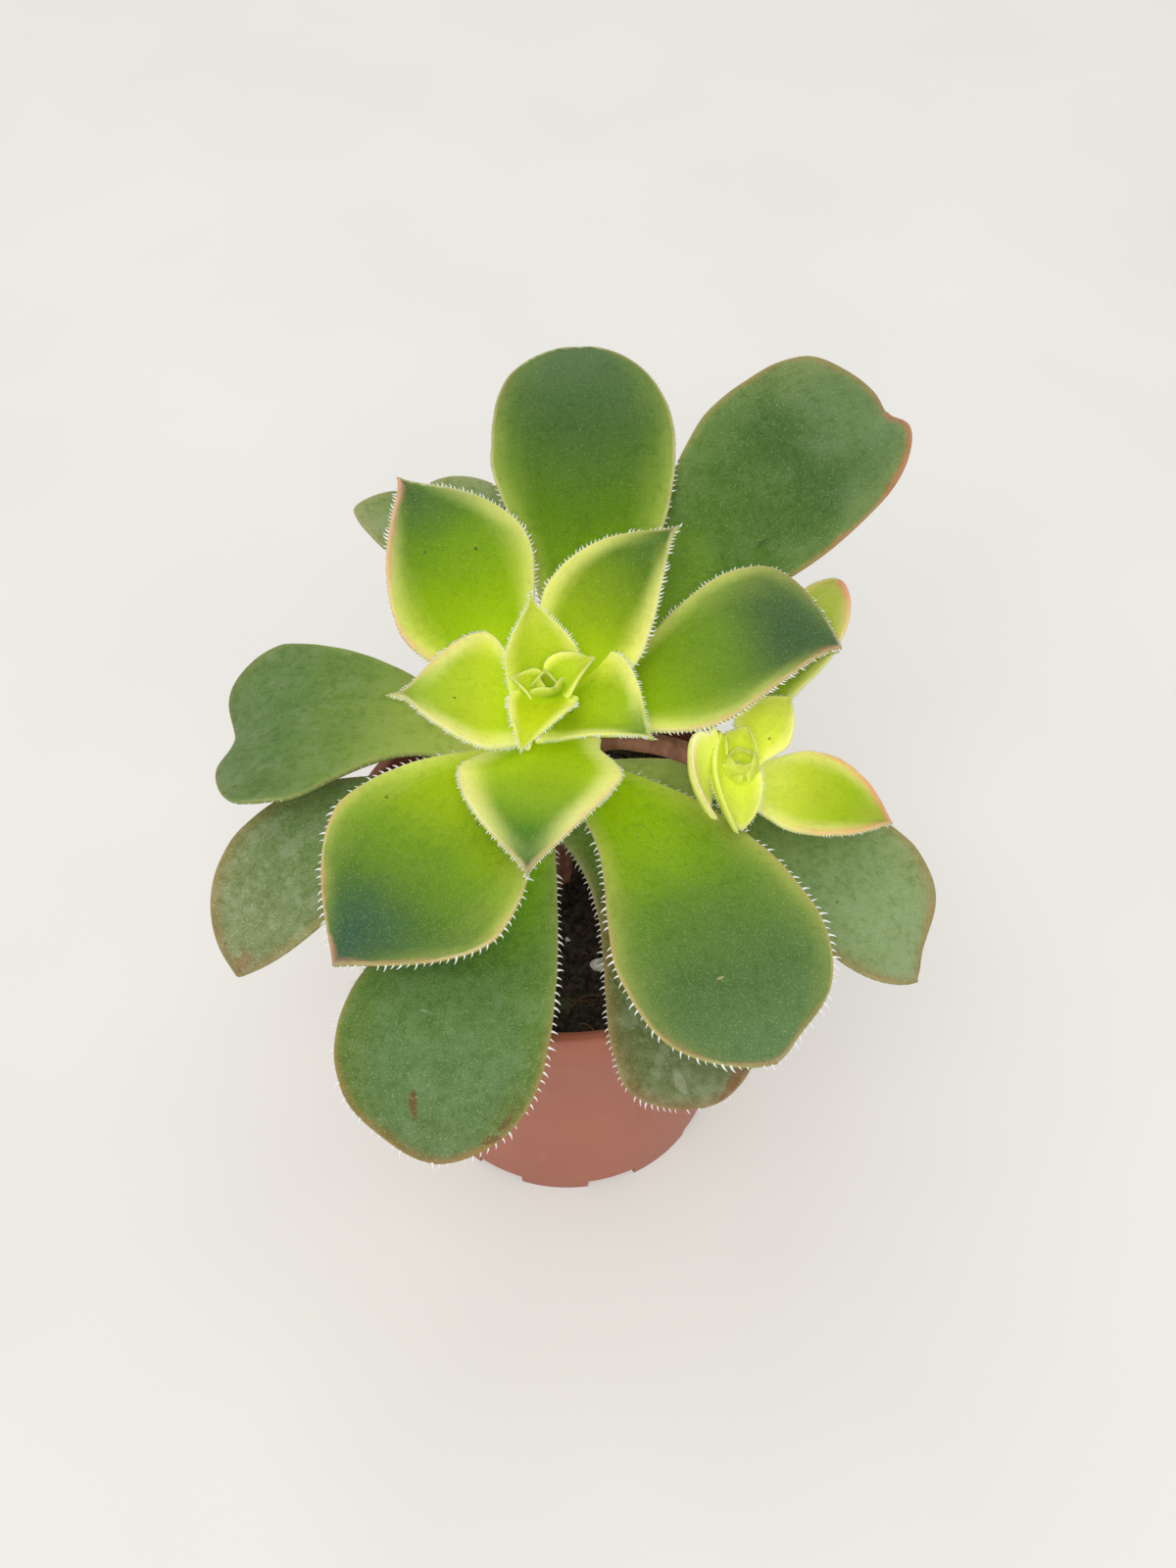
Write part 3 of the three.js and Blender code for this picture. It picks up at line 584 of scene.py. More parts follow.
skins = {
    "outer_leaf_1": {
        **agedLook, "core": [(110, 136, 56), (88, 104, 50), (98, 114, 68), (124, 130, 92)],
        "flank": [(110, 128, 64), (100, 108, 56), (108, 112, 66), (140, 124, 88)], "dust": 0.4,
        "blushLeft": 0.5, "blushRight": 0.5,
        "marks": [
            {"at": (0.92, 0.3), "size": (0.05, 0.09), "colour": (166, 170, 146), "share": 0.6},
            {"at": (0.95, -0.72), "size": (0.07, 0.2), "colour": (140, 102, 70), "share": 0.7},
        ],
    },
    "outer_leaf_2": {
        **agedLook, "core": [(176, 192, 92), (132, 156, 76), (132, 158, 102), (140, 158, 112)],
        "flank": [(176, 188, 100), (124, 146, 80), (134, 152, 96), (152, 148, 102)], "blushLeft": 0.6,
    },
    "outer_leaf_3": {
        **agedLook, "core": [(144, 180, 92), (122, 154, 86), (116, 135, 86), (136, 142, 102)],
        "flank": [(140, 172, 92), (122, 148, 86), (126, 134, 84), (140, 132, 90)], "dust": 0.42,
        "blushLeft": 0.3, "blushRight": 0.55, "fuzz": 0.2,
        "marks": [
            {"at": (0.97, -0.1), "size": (0.05, 0.5), "colour": (146, 106, 74), "share": 0.6},
            {"at": (0.6, -0.2), "size": (0.05, 0.14), "colour": paleScar, "share": 0.3},
        ],
    },
    "outer_leaf_4": {
        **agedLook, "core": [(120, 144, 70), (112, 138, 70), (120, 144, 80), (132, 150, 92)],
        "flank": [(130, 150, 78), (124, 144, 78), (134, 150, 92), (150, 160, 110)], "blushLeft": 0.2,
        "blushRight": 0.1,
    },
    "outer_leaf_5": {
        "core": [(170, 208, 18), (124, 176, 28), (93, 128, 59), (96, 126, 76), (100, 120, 74)],
        "mottle": 0.45,
        "flank": [(158, 188, 60), (124, 152, 66), (102, 132, 60), (96, 120, 56), (110, 116, 60)],
        "pale": (150, 168, 88), "paleWidth": 1.6, "paleShare": 0.25, "rimColour": (196, 178, 132),
        "rimWidth": 0.35, "rimShare": 0.5, "blush": (178, 116, 84), "blushLeft": 0.7, "blushRight": 0.6,
        "blushFrom": 0.65, "blushWidth": 0.9, "fuzz": 0.14, "speck": (168, 188, 132),
        "under": (128, 150, 70), "dust": 0.12,
        "marks": [
            {"at": (0.88, 0.27), "size": (0.036, 0.055), "colour": brown, "share": 0.85},
            {"at": (0.9, -0.86), "size": (0.036, 0.05), "colour": brown, "share": 0.7},
            {"at": (0.945, -0.86), "size": (0.016, 0.14), "colour": brown, "share": 0.75},
            {"at": (0.66, 0.27), "size": (0.004, 0.06), "colour": paleScar, "share": 0.3},
        ],
    },
    "outer_leaf_6": {
        "core": [(224, 226, 126), (166, 184, 84), (112, 138, 63), (98, 124, 69), (106, 128, 82)],
        "mottle": 0.45,
        "flank": [(224, 224, 128), (166, 182, 86), (114, 140, 66), (100, 124, 69), (106, 124, 76)],
        "pale": (160, 176, 96), "paleWidth": 1.2, "paleShare": 0.3, "rimColour": (176, 172, 122),
        "rimWidth": 0.35, "rimShare": 0.3, "blushLeft": 0.15, "blushRight": 0.1, "dust": 0.14,
        "fuzz": 0.1, "speck": (160, 182, 130), "under": (130, 150, 80),
    },
    "outer_leaf_7": {
        "mottle": 0.35,
        "core": [(164, 202, 2), (136, 172, 12), (98, 134, 44), (84, 114, 62), (98, 126, 80)],
        "flank": [(160, 190, 20), (164, 182, 56), (130, 150, 62), (106, 130, 66), (108, 126, 76)],
        "pale": (196, 204, 104), "paleWidth": 2.2, "paleShare": 0.32, "rimColour": (224, 206, 156),
        "rimWidth": 0.4, "blush": (196, 130, 104), "blushLeft": 0.4, "blushRight": 0.6, "fuzz": 0.12,
        "speck": (168, 190, 126), "under": (150, 172, 70),
        "marks": [
            {"at": (0.76, 0.17), "size": (0.005, 0.045), "colour": (190, 176, 130), "share": 0.7},
        ],
    },
    "outer_leaf_8": {
        "core": [(158, 194, 26), (138, 176, 40), (84, 118, 42), (72, 102, 50), (114, 138, 90)],
        "mottle": 0.4,
        "flank": [(164, 186, 64), (126, 156, 50), (96, 125, 56), (102, 128, 70), (130, 142, 90)],
        "pale": (160, 172, 96), "paleWidth": 1.2, "paleShare": 0.3, "rimColour": (206, 168, 130),
        "rimWidth": 0.35, "rimShare": 0.55, "blush": (210, 104, 92), "blushLeft": 0.35,
        "blushRight": 0.85, "blushFrom": 0.66, "blushWidth": 1.0, "dust": 0.07, "fuzz": 0.12,
        "speck": (160, 182, 136), "under": (130, 150, 80),
        "marks": [{"at": (0.6, 0.37), "size": (0.018, 0.07), "colour": (64, 84, 34), "share": 0.7}],
    },
    "outer_leaf_9": {
        "core": [(198, 216, 14), (158, 186, 16), (113, 148, 34), (84, 117, 46), (74, 101, 70)],
        "mottle": 0.28,
        "flank": [(206, 222, 76), (196, 212, 84), (146, 172, 58), (106, 132, 58), (90, 116, 64)],
        "patch": (54, 88, 72), "patchAt": (0.88, 0.08), "patchSize": (0.18, 0.6), "patchShare": 0.75,
        "pale": (222, 224, 120), "paleWidth": 1.9, "paleShare": 0.4, "blush": (228, 152, 122),
        "blushLeft": 0.6, "blushRight": 0.95, "blushFrom": 0.5, "under": (150, 172, 70),
    },
    "outer_leaf_10": {
        "core": [(154, 190, 4), (120, 158, 2), (86, 121, 16), (74, 103, 44), (90, 114, 74)],
        "mottle": 0.35,
        "flank": [(208, 220, 86), (186, 202, 80), (132, 158, 50), (98, 124, 52), (100, 122, 70)],
        "patch": (60, 92, 60), "patchAt": (0.78, 0), "patchSize": (0.2, 0.6), "patchShare": 0.25,
        "pale": (190, 202, 104), "paleWidth": 2.6, "paleShare": 0.3, "fuzz": 0.1,
        "speck": (150, 176, 110), "under": (140, 160, 70),
    },
    "middle_leaf_1": {
        "core": [(176, 208, 6), (132, 166, 12), (112, 145, 38), (82, 108, 58), (86, 110, 66)],
        "flank": [(216, 226, 90), (192, 208, 84), (150, 174, 68), (116, 138, 64), (104, 124, 68)],
        "patch": (60, 90, 62), "patchAt": (0.88, 0.0), "patchSize": (0.17, 0.7), "patchShare": 0.6,
        "blush": (214, 140, 120), "blushLeft": 0.3, "blushRight": 0.75, "paleWidth": 2.0,
        "paleShare": 0.5, "under": (170, 190, 80),
    },
    "middle_leaf_2": {
        "core": [(184, 216, 16), (162, 196, 8), (132, 168, 8), (98, 134, 32), (84, 114, 52)],
        "flank": [(226, 232, 92), (214, 224, 74), (186, 202, 76), (150, 168, 84), (110, 136, 70)],
        "patch": (62, 92, 56), "patchAt": (0.92, 0), "patchSize": (0.14, 0.8), "patchShare": 0.5,
        "blush": (232, 160, 142), "blushLeft": 0.95, "blushRight": 0.1, "blushWidth": 1.2,
        "marks": [{"at": (0.64, 0.32), "size": (0.009, 0.03), "colour": (66, 74, 20), "share": 0.8}],
    },
    "middle_leaf_3": {
        "core": [(172, 200, 6), (156, 184, 8), (127, 156, 22), (90, 122, 32), (82, 116, 32)],
        "flank": [(208, 220, 52), (222, 228, 92), (216, 218, 106), (172, 186, 92), (118, 144, 62)],
        "paleShare": 0.7, "patchAt": (0.92, 0), "patchShare": 0.3,
    },
    "inner_leaf_1": {
        "core": [(172, 202, 12), (166, 196, 30), (136, 171, 38), (88, 132, 38), (70, 112, 44)],
        "flank": [(212, 226, 60), (228, 234, 96), (216, 222, 106), (160, 182, 84), (108, 140, 62)],
        "patch": (76, 114, 56), "patchAt": (0.98, 0), "patchSize": (0.2, 1.0), "patchShare": 0.6,
        "blush": (226, 150, 130), "blushLeft": 0.45, "blushRight": 0.3, "paleWidth": 3.0,
        "pale": (240, 238, 150), "paleShare": 0.8,
    },
    "inner_leaf_2": {
        "core": [(180, 206, 12), (187, 209, 40), (166, 193, 44), (132, 166, 44)],
        "flank": [(226, 236, 76), (232, 236, 96), (216, 220, 110), (170, 186, 84)],
        "pale": (240, 238, 148), "paleWidth": 2.4, "paleShare": 0.75, "blush": (232, 160, 140),
        "blushLeft": 0.1, "blushRight": 0.6,
        "marks": [{"at": (0.58, -0.11), "size": (0.018, 0.03), "colour": (60, 60, 20), "share": 0.8}],
    },
    "inner_leaf_3": {
        **freshLook, "core": [(150, 180, 6), (167, 193, 20), (152, 184, 32), (104, 142, 40)],
        "flank": [(218, 229, 60), (230, 234, 84), (214, 220, 104), (140, 164, 66)],
        "pale": (240, 240, 140), "paleWidth": 1.8, "paleShare": 0.75, "patch": (96, 132, 48),
        "patchAt": (1.0, 0), "patchSize": (0.2, 1.0), "patchShare": 0.5,
    },
    "inner_leaf_4": {
        **freshLook, "core": [(160, 188, 6), (190, 211, 42), (200, 216, 70)],
        "flank": [(226, 236, 84), (232, 236, 100), (214, 226, 92)], "pale": (242, 242, 140),
        "paleWidth": 1.3, "paleShare": 0.6, "rimWidth": 0.35,
    },
    "inner_leaf_5": {
        **freshLook, "core": [(150, 180, 4), (190, 210, 12), (204, 220, 40)],
        "flank": [(224, 234, 60), (236, 240, 96), (226, 236, 86)], "pale": (242, 242, 140),
        "paleWidth": 1.0, "paleShare": 0.6, "rimWidth": 0.3,
    },
    "offset_leaf_1": {
        "core": [(216, 225, 96), (190, 208, 52), (158, 186, 24), (160, 170, 64)],
        "flank": [(230, 232, 116), (222, 226, 110), (216, 214, 112), (200, 176, 104)],
        "blush": (236, 132, 118), "blushLeft": 0.95, "blushRight": 0.6, "blushWidth": 1.2,
        "blushFrom": 0.4, "paleWidth": 2.2, "paleShare": 0.6, "under": (206, 216, 100),
    },
    "offset_leaf_2": {
        "core": [(196, 208, 80), (160, 186, 56), (146, 176, 46), (176, 180, 84)],
        "flank": [(226, 226, 130), (196, 206, 92), (180, 194, 80), (214, 190, 130)],
        "blush": (238, 140, 124), "blushLeft": 0.1, "blushRight": 1.0, "blushWidth": 1.3,
        "blushFrom": 0.78, "paleWidth": 1.4, "under": (206, 216, 100),
    },
    "offset_leaf_3": {
        "core": [(226, 236, 96), (218, 230, 90), (206, 216, 100)],
        "flank": [(240, 240, 150), (238, 236, 146), (224, 214, 134)], "blush": (236, 176, 150),
        "blushLeft": 0.5, "blushRight": 0.6, "blushWidth": 0.5, "rimColour": (246, 240, 196),
        "rimWidth": 0.7, "paleWidth": 1.4, "under": (214, 224, 104), "glow": 0.9,
    },
    "offset_leaf_4": {
        **freshLook, "core": [(222, 230, 76), (214, 226, 70), (218, 226, 92)],
        "flank": [(234, 236, 96), (236, 236, 116), (238, 236, 146)], "paleWidth": 1.4,
        "under": (214, 224, 100), "glow": 1.1,
    },
    "offset_leaf_5": {
        **freshLook, "core": [(212, 226, 56), (214, 226, 70), (214, 226, 88)],
        "flank": [(238, 242, 110), (238, 242, 106), (232, 234, 120)], "paleWidth": 1.2,
        "under": (214, 224, 100), "glow": 0.9,
    },
}
# The emission is painted light that brightens the leaves towards their bases.
leafConstants = {
    "Subsurface Weight": 0.15,
    "Subsurface Radius": (0.8, 1.0, 0.2),
    "Subsurface Scale": 0.8 * mm,
    "Specular IOR Level": 0.07,
    "Emission Strength": 0.32,
}


# The distance from the middle of a spot on the blade, in shares of the spot's own size.
def awayFrom(skin, middle, size, along, across):
    lengthwise = (along - middle[0]) / size[0]
    crosswise = (across - middle[1]) / size[1]
    return skin.math("SQRT", lengthwise * lengthwise + crosswise * crosswise)


def leafSkin(name, values):
    look = {**skinLook, **values}
    skin = Finish(name, leafConstants)
    along, across = skin.attribute("along"), skin.attribute("across")
    rim, upper = skin.attribute("rim"), skin.attribute("upper")
    place = skin.place()
    blotch = skin.noise(place, look["blotchSize"], 3)
    grain = skin.noise(place, look["grainSize"], 3)
    fuzz = skin.noise(place, look["fuzzSize"], 1)
    lanes = skin.node("ShaderNodeCombineXYZ", {}, {"X": across * 30, "Y": along * 5, "Z": blotch})
    streak = skin.noise(lanes, 1 / mm, 3)
    core = skin.ramp(along + blotch * 0.16, stops(look["core"]))
    flank = skin.ramp(along + blotch * 0.12, stops(look["flank"]))
    sideways = skin.math("ABSOLUTE", across) + blotch * 0.3 + streak * 0.12
    colour = skin.mix(skin.fade(sideways, *look["band"]), core, flank)
    away = awayFrom(skin, look["patchAt"], look["patchSize"], along, across) + blotch * 1.2 + streak * 0.3
    colour = skin.mix(skin.fade(away, 1.5, 0.1) * look["patchShare"], colour, tint(*look["patch"]))
    cloud = skin.noise(place, look["cloudSize"], 4)
    dusty = skin.fade(cloud + grain * 0.5, -0.04, 0.2) * look["dust"] * skin.fade(along, 0.25, 0.7)
    colour = skin.mix(dusty, colour, tint(*look["dustColour"]))
    glow = skin.fade(rim + blotch * 2.2 + streak * 0.8, look["paleWidth"], 0.0) * look["paleShare"]
    colour = skin.mix(glow * skin.fade(along, 1.0, 0.6), colour, tint(*look["pale"]))
    broken = skin.fade(blotch + grain * 0.6, -0.14, 0.12)
    rimMask = skin.fade(rim + grain * 0.5, look["rimWidth"], 0.0) * look["rimShare"]
    colour = skin.mix(rimMask * (0.5 + broken * 0.5), colour, tint(*look["rimColour"]))
    sided = skin.fade(across, -0.1, 0.1)
    share = look["blushLeft"] + (look["blushRight"] - look["blushLeft"]) * sided
    flush = skin.fade(rim + blotch * 2.6 + grain * 0.8, look["blushWidth"], 0.0) * (0.45 + broken * 0.55)
    flush = flush * share * skin.fade(along, look["blushFrom"] - 0.2, look["blushFrom"] + 0.2)
    colour = skin.mix(flush, colour, tint(*look["blush"]))
    for mark in look["marks"]:
        away = awayFrom(skin, mark["at"], mark["size"], along, across) + grain * 0.9 + fuzz * 0.4
        colour = skin.mix(skin.fade(away, 1, 0.6) * mark["share"], colour, tint(*mark["colour"]))
    dots = skin.specks(place, look["speckSize"], look["speckRadius"]) * look["speckShare"]
    colour = skin.mix(dots, colour, tint(*look["speckColour"]))
    dark = skin.mix(1.0, colour, tint(*look["shade"]), "MULTIPLY")
    mottle = skin.fade(streak * 0.5 + grain * 1.2 + cloud * 0.8, 0.04, -0.3) * look["mottle"]
    colour = skin.mix(mottle, colour, dark)
    colour = skin.mix(skin.fade(fuzz, 0.06, 0.22) * look["fuzz"] * 2.1, colour, tint(*look["speck"]))
    colour = skin.mix(skin.fade(fuzz, -0.06, -0.22) * look["fuzz"] * 2.2, colour, dark)
    colour = skin.mix(upper, tint(*look["under"]), colour)
    # Painted light: the upper face glows in its own colour near the base, standing in for light passing
    # through the leaves.
    paintedGlow = skin.fade(along, look["glow"], 0.0) * upper
    skin.feed(skin.shader.inputs["Emission Color"], skin.mix(paintedGlow, tint(0, 0, 0), colour))
    roughness = 0.6 + grain * 0.2 + fuzz * 0.2
    height = fuzz * 0.5 + grain * 0.5 + cloud * 0.7 + streak * 0.4
    return skin.finish(colour, roughness, height, look["bump"])


# The hairs that stand along every leaf's margin and lean towards its tip. Spacing and Length are in
# millimetres, Thickness and Lean in shares of a hair's length.
hairLook = {
    "outer": {"Spacing": 0.88, "Length": 0.74, "Thickness": 0.2, "Lean": 0.5},
    "middle": {"Spacing": 0.5, "Length": 0.58, "Thickness": 0.22, "Lean": 0.45},
    "inner": {"Spacing": 0.32, "Length": 0.42, "Thickness": 0.22, "Lean": 0.4},
    "offset": {"Spacing": 0.34, "Length": 0.38, "Thickness": 0.17, "Lean": 0.45},
    "bud": {"Spacing": 0.3, "Length": 0.22, "Thickness": 0.14, "Lean": 0.4},
}


class Tree:
    def __init__(self, name, sizes):
        self.group = bpy.data.node_groups.new(name, "GeometryNodeTree")
        self.sockets = {}
        face = self.group.interface
        face.new_socket("Geometry", in_out="OUTPUT", socket_type="NodeSocketGeometry")
        face.new_socket("Geometry", in_out="INPUT", socket_type="NodeSocketGeometry")
        for key, kind in sizes.items():
            self.sockets[key] = face.new_socket(key, in_out="INPUT", socket_type=kind).identifier
        self.given = self.group.nodes.new("NodeGroupInput")
        self.result = self.group.nodes.new("NodeGroupOutput")

    def node(self, kind, settings=None, sockets=None):
        made = self.group.nodes.new(kind)
        for key, value in (settings or {}).items():
            setattr(made, key, value)
        for key, value in (sockets or {}).items():
            if isinstance(value, bpy.types.NodeSocket):
                self.group.links.new(value, made.inputs[key])
            else:
                made.inputs[key].default_value = value
        return made.outputs

    def size(self, key):
        return self.given.outputs[key]

    def sum(self, operation, first, second):
        return self.node("ShaderNodeMath", {"operation": operation}, {0: first, 1: second})[0]

    def draw(self, low, high, seed, kind="FLOAT"):
        places = {"FLOAT": (2, 3, 1), "FLOAT_VECTOR": (0, 1, 0)}[kind]
        sockets = {places[0]: low, places[1]: high, "Seed": seed}
        return self.node("FunctionNodeRandomValue", {"data_type": kind}, sockets)[places[2]]

    def chance(self, share, seed):
        settings = {"data_type": "BOOLEAN"}
        return self.node("FunctionNodeRandomValue", settings, {6: share, "Seed": seed})[3]

    def close(self, geometry, material):
        realized = self.node("GeometryNodeRealizeInstances", {}, {0: geometry})[0]
        sockets = {"Geometry": realized, "Material": material}
        finished = self.node("GeometryNodeSetMaterial", {}, sockets)[0]
        self.group.links.new(finished, self.result.inputs[0])

    def fit(self, piece, values):
        modifier = piece.modifiers.new(self.group.name, "NODES")
        modifier.node_group = self.group
        for key, value in values.items():
            modifier[self.sockets[key]] = value
        return settle(piece)


def hairTree(material):
    kinds = {"Spacing": "NodeSocketFloat", "Length": "NodeSocketFloat", "Thickness": "NodeSocketFloat",
             "Lean": "NodeSocketFloat", "Seed": "NodeSocketInt"}
    tree = Tree("margin hairs", kinds)
    seed = tree.size("Seed")
    line = tree.node("GeometryNodeMeshToCurve", {}, {"Mesh": tree.given.outputs["Geometry"]})[0]
    sockets = {"Curve": line, "Length": tree.size("Spacing")}
    roots = tree.node("GeometryNodeResampleCurve", {"mode": "LENGTH"}, sockets)[0]
    leanX = tree.node("ShaderNodeCombineXYZ", {}, {"X": tree.size("Lean"), "Z": 0.85})[0]
    sockets = {"Resolution": 4, "Start": (0, 0, -0.15), "Middle": (0.05, 0, 0.5), "End": leanX}
    bent = tree.node("GeometryNodeCurveQuadraticBezier", {}, sockets)[0]
    share = tree.node("GeometryNodeSplineParameter")["Factor"]
    marked = tree.node("GeometryNodeStoreNamedAttribute", {},
                       {"Geometry": bent, "Name": "climb", "Value": share})[0]
    left = tree.sum("SUBTRACT", 1.03, share)
    taper = tree.sum("MULTIPLY", tree.sum("POWER", left, 0.8), tree.size("Thickness"))
    section = tree.node("GeometryNodeCurvePrimitiveCircle", {}, {"Resolution": 5, "Radius": 1.0})[0]
    sockets = {"Curve": marked, "Profile Curve": section, "Scale": taper, "Fill Caps": True}
    hair = tree.node("GeometryNodeCurveToMesh", {}, sockets)[0]
    hair = tree.node("GeometryNodeSetShadeSmooth", {}, {"Geometry": hair})[0]
    vectors = {"data_type": "FLOAT_VECTOR"}
    outward = tree.node("GeometryNodeInputNamedAttribute", vectors, {"Name": "outward"})[0]
    tipward = tree.node("GeometryNodeInputNamedAttribute", vectors, {"Name": "tipward"})[0]
    axes = {"primary_axis": "Z", "secondary_axis": "X"}
    sockets = {"Primary Axis": outward, "Secondary Axis": tipward}
    aim = tree.node("FunctionNodeAxesToRotation", axes, sockets)[0]
    tilt = tree.draw((-0.35, -0.25, -0.3), (0.35, 0.3, 0.3), seed, "FLOAT_VECTOR")
    tilt = tree.node("FunctionNodeEulerToRotation", {}, {0: tilt})[0]
    aim = tree.node("FunctionNodeRotateRotation", {"rotation_space": "LOCAL"},
                    {"Rotation": aim, "Rotate By": tilt})[0]
    scale = tree.sum("MULTIPLY", tree.draw(0.55, 1.25, seed), tree.size("Length"))
    sockets = {"Points": roots, "Instance": hair, "Rotation": aim, "Scale": scale,
               "Selection": tree.chance(0.93, seed)}
    hairs = tree.node("GeometryNodeInstanceOnPoints", {}, sockets)[0]
    tree.close(hairs, material)
    return tree


def hairFinish(name, foot, tip):
    finish = Finish(name, {"Specular IOR Level": 0.05, "Emission Strength": 0.28})
    place = finish.place()
    uneven = finish.noise(place, 2.5, 2)
    climb = finish.attribute("climb") + uneven * 0.3
    colour = finish.mix(finish.fade(climb, 0.15, 0.85), tint(*foot), tint(*tip))
    # Painted light: the hairs glow faintly in their own colour, so they read brighter.
    finish.feed(finish.shader.inputs["Emission Color"], colour)
    return finish.finish(colour, 0.5 + uneven * 0.2, uneven, 0.02)


whiteHairs = hairTree(hairFinish("whiteHair", (214, 172, 136), (250, 238, 200)))
youngHairs = hairTree(hairFinish("youngHair", (214, 222, 100), (246, 245, 178)))


# A leaf's margin as one line of points, with the way outward and the way to the tip at each.
def marginLine(name, margins, firstShare):
    kept = margins["place"] > firstShare
    points = margins["points"][kept] * mm
    mesh = bpy.data.meshes.new(name)
    mesh.from_pydata(points.tolist(), [(i, i + 1) for i in range(len(points) - 1)], [])
    for key in ("outward", "tipward"):
        layer = mesh.attributes.new(key, "FLOAT_VECTOR", "POINT")
        layer.data.foreach_set("vector", margins[key][kept].astype(np.float32).ravel())
    line = bpy.data.objects.new(name, mesh)
    bpy.context.collection.objects.link(line)
    return line


def growHairs(hairs, line, look, seed):
    spacing, length = look["Spacing"] * mm, look["Length"] * mm
    return hairs.fit(line, {**look, "Spacing": spacing, "Length": length, "Seed": seed})


def joinPieces(name, pieces):
    merged = bmesh.new()
    for piece in pieces:
        merged.from_mesh(piece.data)
    mesh = bpy.data.meshes.new(name)
    merged.to_mesh(mesh)
    merged.free()
    mesh.materials.append(pieces[0].data.materials[0])
    joined = bpy.data.objects.new(name, mesh)
    bpy.context.collection.objects.link(joined)
    for piece in pieces:
        bpy.data.objects.remove(piece)
    return joined


# The first seed of each kind's random draws, and the share of a blade's length where its hairs begin.
seeds = {"leaves": 100, "buds": 300, "budHairs": 50, "grains": 60}
hairsFrom = {"leaves": 0.06, "buds": 0.1}
slots = {"outer": "outer_leaf_skin", "middle": "middle_leaf_skin", "inner": "inner_leaf_skin",
         "offset": "inner_leaf_skin"}


def makeLeaves():
    fringes = {family: [] for family in slots}
    for number, (name, values) in enumerate(leaves.items()):
        family = name.split("_")[0]
        draw = np.random.default_rng(seeds["leaves"] + number)
        rings, reading, margins = leafBody(values, draw)
        faces = ringFaces(*rings.shape[:2])
        attributes = {key: grid.ravel() for key, grid in reading.items()}
        skin = leafSkin(name + "_skin", skins[name])
        leaf = makePiece(name + "_fine", rings.reshape(-1, 3) * mm, faces, skin, attributes)
        handOver(leaf, slots[family], name)
        look = {**hairLook[family], **values.get("hairs", {})}
        line = marginLine(name + "_hairs", margins, hairsFrom["leaves"])
        hairs = youngHairs if family in ("inner", "offset") else whiteHairs
        fringes[family].append(growHairs(hairs, line, look, number))
    for family, pieces in fringes.items():
        handOver(joinPieces(family + "_leaf_hairs", pieces), slots[family])


makeLeaves()
print("leaves and their hairs made")


# The youngest leaves, closed round each other on top of a stem.
budLeaf = {
    "rise": 60, "neck": 1.6, "widest": 0.42, "fullness": 1.7, "roundness": 0.95, "cup": 0.3, "sink": 0.4,
    "groove": 0.03, "ripple": 0.04, "rows": 18, "columns": 13, "base": 0.8, "middle": 0.9, "margin": 0.45,
}
buds = {
    "heart_bud": {"axis": "stem", "foot": 76.7, "reach": 0.65, "leaves": [
        {"heading": 173, "rise": 43, "droop": 28, "length": 3.7, "width": 5, "neck": 4, "widest": 0.26,
         "fullness": 1.3, "fold": 0.4, "height": 77.3, "left": {"width": 6.5, "neck": 5}},
        {"heading": 32, "rise": 35, "droop": 13, "length": 6, "width": 5.8, "neck": 4.4, "widest": 0.3,
         "fold": 0.7, "height": 77.2, "left": {"width": 5.4, "neck": 4}},
        {"heading": -62, "rise": 66, "droop": 60, "length": 2.9, "width": 4.2, "neck": 3, "cup": 0.6},
        {"heading": 92, "rise": 78, "droop": 112, "length": 3.2, "width": 3, "neck": 2.6, "cup": 0.8},
        {"heading": 196, "rise": 76, "droop": 100, "length": 2.4, "width": 2.6, "reach": 0.5, "cup": 0.6},
    ]},
    "offset_bud": {"axis": "offset", "foot": 68.9, "reach": 0.5, "leaves": [
        {"heading": 150, "rise": 66, "droop": 76, "length": 3.4, "width": 4.4, "neck": 3, "cup": 0.5,
         "roundness": 0.42},
        {"heading": 60, "rise": 58, "droop": 80, "length": 3.6, "width": 4.6, "neck": 3.4, "cup": 0.6,
         "roundness": 0.42},
        {"heading": -110, "sweep": 52, "seat": 172, "reach": 1.8, "height": 72.4, "rise": -4,
         "droop": -18, "length": 11.6, "width": 3.2, "neck": 2.4, "roll": 66, "roundness": 0.6,
         "cup": 0.3},
        {"heading": 190, "seat": -106, "reach": 2.4, "rise": 62, "droop": 96, "length": 2.8, "width": 4.4,
         "neck": 3.6, "cup": 0.6, "roundness": 0.42},
        {"heading": 100, "seat": -92, "reach": 1.3, "rise": 64, "droop": 98, "length": 2.8, "width": 4.2,
         "neck": 3.6, "cup": 0.6, "roundness": 0.42},
        {"heading": 4, "seat": -62, "reach": 2.4, "rise": 62, "droop": 96, "length": 2.9, "width": 4.4,
         "neck": 3.6, "cup": 0.6, "roundness": 0.42},
        {"heading": -88, "seat": -88, "reach": 2.9, "rise": 56, "droop": 92, "length": 2.9, "width": 4.6,
         "neck": 3.8, "cup": 0.6, "roundness": 0.42},
        {"heading": 40, "seat": -90, "reach": 2.1, "rise": 80, "droop": 100, "length": 1.9, "width": 1.8,
         "neck": 1.4, "cup": 0.6, "roundness": 0.5},
    ]},
}
budSkin = {
    "core": [(170, 198, 14), (196, 214, 50), (210, 222, 72)],
    "flank": [(226, 236, 84), (238, 240, 110), (236, 240, 124)],
    "rimColour": (240, 243, 156), "rimShare": 0.6, "rimWidth": 0.3, "blushLeft": 0, "blushRight": 0,
    "paleWidth": 0.7, "paleShare": 0.5, "under": (200, 216, 74), "glow": 0.85,
}
budSkins = {
    "heart_bud": {**budSkin, "core": [(140, 172, 8), (180, 203, 34), (204, 218, 66)]},
    "offset_bud": {**budSkin, "core": [(190, 210, 30), (214, 226, 66), (222, 231, 90)],
                   "under": (214, 226, 90), "glow": 1.15},
}


